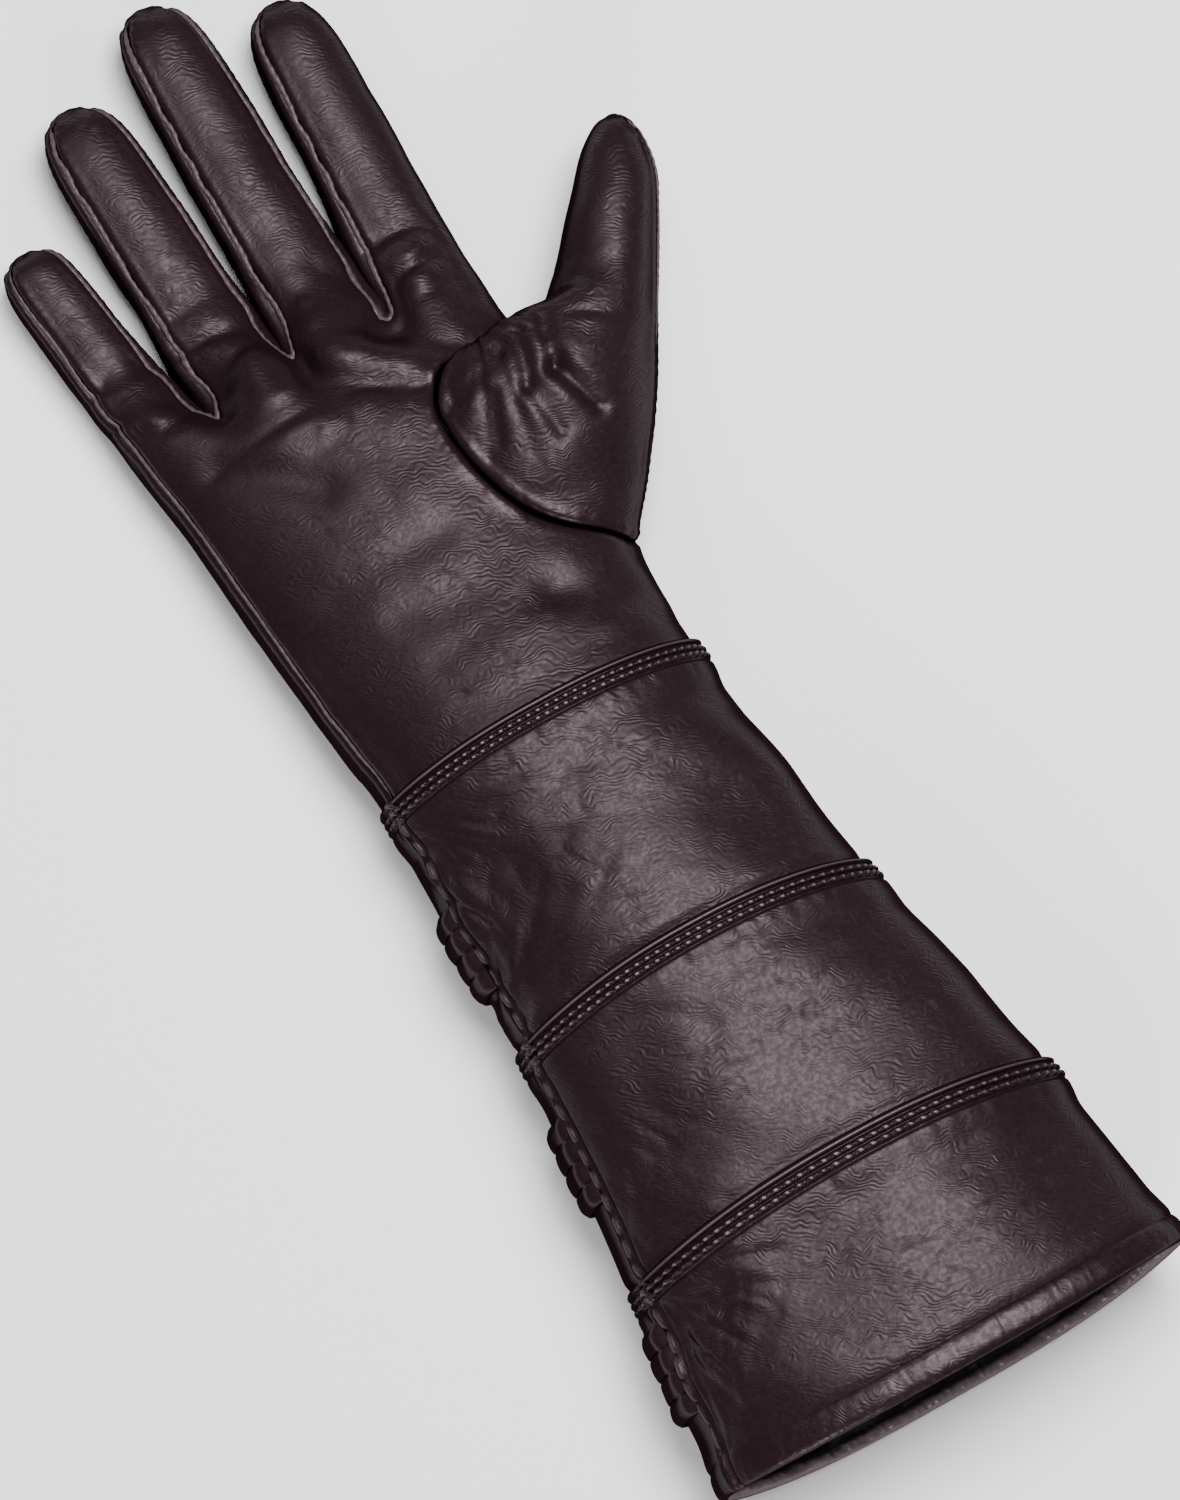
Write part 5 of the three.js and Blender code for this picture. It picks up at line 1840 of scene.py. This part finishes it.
@dataclass
class Studio:
    """A pale floor, soft lights and the camera at the photograph's angle."""

    tilt_left: float = 8.0  # degrees from straight above, towards the little finger's side
    tilt_near: float = 9.0  # and towards the mouth
    turn: float = 29.0  # degrees that the glove is turned in the picture
    aim: tuple[float, float, float] = (-17.85, -18.93, 25.0)  # mm
    aside: float = 7.17  # mm from the aim to the picture's middle, to the right
    above: float = 2.39  # and upwards
    distance: float = 1700.0
    frame_height: float = 358.5  # mm that the picture's long side spans at that distance
    sensor: float = 36.0
    middle: tuple[float, float, float] = (0.0, 0.0, 0.02)  # where the lamps point, in metres
    softboxes: tuple[Softbox, ...] = rows_of(
        Softbox,
        ("key_softbox", 1.1, 0.42, 0.18, 0.6, 31.0),
        ("fill_softbox", 1.0, 0.85, -0.5, 0.8, 4.0),
        ("mouth_softbox", 0.8, -1.1, 0.1, 0.5, 12.0),
    )
    sky: float = 0.05  # strength of the white all round
    floor_half: float = 6.0  # metres
    floor_shade: str = "fbfbfb"

    def directions(self) -> tuple[Vector, Vector, Vector]:
        """Works out the picture's directions.

        Returns:
            Its right, its up, and the direction from the glove to the camera.
        """
        back = Vector(
            (-math.sin(math.radians(self.tilt_left)), -math.sin(math.radians(self.tilt_near)), 1)
        ).normalized()
        right = Vector((math.cos(math.radians(self.turn)), -math.sin(math.radians(self.turn)), 0))
        right = (right - back * right.dot(back)).normalized()
        return right, back.cross(right), back

    def camera(self) -> None:
        """Places the camera."""
        right, up, back = self.directions()
        middle = Vector(self.aim) + right * self.aside + up * self.above
        lens = bpy.data.cameras.new("photo_camera")
        lens.sensor_width = self.sensor
        lens.lens = self.sensor * self.distance / self.frame_height
        lens.clip_end = 20
        camera = bpy.data.objects.new("photo_camera", lens)
        bpy.context.scene.collection.objects.link(camera)
        turn = Matrix((right, up, back)).transposed().to_4x4()
        camera.matrix_world = Matrix.Translation((middle + back * self.distance) * METRES) @ turn
        bpy.context.scene.camera = camera

    def light(self, box: Softbox) -> None:
        """Adds a softbox that faces the glove's middle.

        Args:
            box: its place, size and power.
        """
        right, up, back = self.directions()
        lamp = bpy.data.lights.new(box.name, "AREA")
        lamp.size = box.size
        lamp.energy = box.power
        away = back * box.back + up * box.up + right * box.right
        piece = bpy.data.objects.new(box.name, lamp)
        bpy.context.scene.collection.objects.link(piece)
        turn = away.to_track_quat("Z", "Y").to_matrix().to_4x4()
        piece.matrix_world = Matrix.Translation(Vector(self.middle) + away) @ turn

    def build(self) -> None:
        """Makes the floor, the lights and the world."""
        for box in self.softboxes:
            self.light(box)
        world = bpy.data.worlds.new("studio")
        world.use_nodes = True
        sky = world.node_tree.nodes["Background"]
        sky.inputs[0].default_value = srgb("ffffff")
        sky.inputs[1].default_value = self.sky
        bpy.context.scene.world = world
        floor = bpy.data.meshes.new("floor")
        corners = [(x * self.floor_half, y * self.floor_half, 0) for x, y in SQUARE]
        floor.from_pydata(corners, [], [(0, 1, 2, 3)])
        paint = bpy.data.materials.new("pale_matte_paint")
        paint.use_nodes = True
        shader = paint.node_tree.nodes["Principled BSDF"]
        shader.inputs["Base Color"].default_value = srgb(self.floor_shade)
        shader.inputs["Roughness"].default_value = 0.9
        floor.materials.append(paint)
        ground = bpy.data.objects.new("floor", floor)
        bpy.context.scene.collection.objects.link(ground)


def main() -> None:
    """Dresses the glove: the hand's leather, the cuff, the stitches, and the studio round it."""
    logging.basicConfig(level=logging.INFO, format="%(message)s")
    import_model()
    form = GloveForm()
    low, high = (np.array(corner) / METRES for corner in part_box("hem"))
    Mesh.shift = np.array(
        [(low[0] + high[0]) / 2 - form.mouth_drift, low[1] - form.mouth_end + form.mouth_bow, 0]
    )
    leather = Leather().build()
    thread = Thread().build()
    cloth = LiningCloth().build()
    studio = Studio()
    studio.camera()

    hand = Hand(form)
    net, rim = hand.hand_net()
    thumb = hand.thumb_net(net.points[rim])
    skins = []
    for skin in (net, thumb):
        skin.through_points()
        for _ in range(hand.rounds):
            skin = skin.smoothed()
        skin.points = skin.limits(skin.points)
        skins.append(skin)
    for skin in skins:
        hand.softened(skin)
    net, thumb = skins
    hole = thumb.points[thumb.seams["hole"]]
    hand_lines = [net.points[chain] for chain in net.seams.values()]
    edge = hand.thumb_edge(thumb, thumb.points)
    distance = hand.sewn(net, hand_lines + [hole], hand.seam)
    hand.bulged(net, distance)
    round_hole = hand.sewn(thumb, [hole], Seam(swell=0.6, pucker=0.08, pitch=4.2))
    along_edge = hand.sewn(thumb, [edge], Seam(0.4, 0.45, 0.3, 1.6, 0.12, 2.2))
    thumb_distance = np.minimum(round_hole, along_edge)
    slots = {Part.PALM: "palm_leather", Part.BACK: "back_leather", Part.THUMB: "thumb_leather"}
    for part in Part:
        skin, near = (thumb, thumb_distance) if part is Part.THUMB else (net, distance)
        name = part.name.lower()
        mesh = hand.leather(skin, part, near)
        mesh.build(f"{name}_leather", leather, slots.get(part, "fourchette_leather"), name)
    facing = net.normals()
    clear = [chain[net.points[chain, 1] > 0.5] for chain in net.seams.values()]
    ridges = {name: (net.points[chain], facing[chain]) for name, chain in zip(net.seams, clear)}
    fingers = [ridges[f"palm_{finger.name}"] for finger in hand.fingers[:-1]]
    hand.ridges(fingers, 1.4, 15).build("fourchette_ridges", leather, "fourchette_leather")
    hand.ridges([ridges["ulnar"]], 0.9, 17).build("side_ridge", leather, "palm_leather")
    line = hand.thumb_edge(thumb, thumb.points), hand.thumb_edge(thumb, thumb.normals())
    hand.ridges([line], 0.9, 19).build("thumb_ridge", leather, "thumb_leather")

    cuff = Cuff(form)
    panels = {
        "upper": (0.0, form.upper_seam - form.lap, True),
        "middle": (form.upper_seam, form.lower_seam - form.lap, True),
        "lower": (form.lower_seam, form.hem_seam, False),
    }
    for k, (name, (top, bottom, capped)) in enumerate(panels.items()):
        node = f"gauntlet_{name}"
        panel = cuff.panel(top, bottom, capped, 61 + 3 * k)
        panel.build(f"{node}_panel", leather, "gauntlet_leather", node)
        cuff.stitches(top).build(f"{node}_stitches", thread, "gauntlet_leather")
    cuff.hem().build("rolled_hem", leather, "hem_leather", "hem")
    cuff.lining().build("lining_sleeve", cloth, "lining_fabric", "lining")
    for k, (name, (top, bottom, _)) in enumerate(panels.items()):
        mesh = cuff.band(top, bottom, cuff.band_places[k], 71 + 2 * k)
        band = mesh.build(f"band_{name}_padded", leather, "band_leather", f"band_{name}")

    studio.build()


if __name__ == "__main__":
    main()
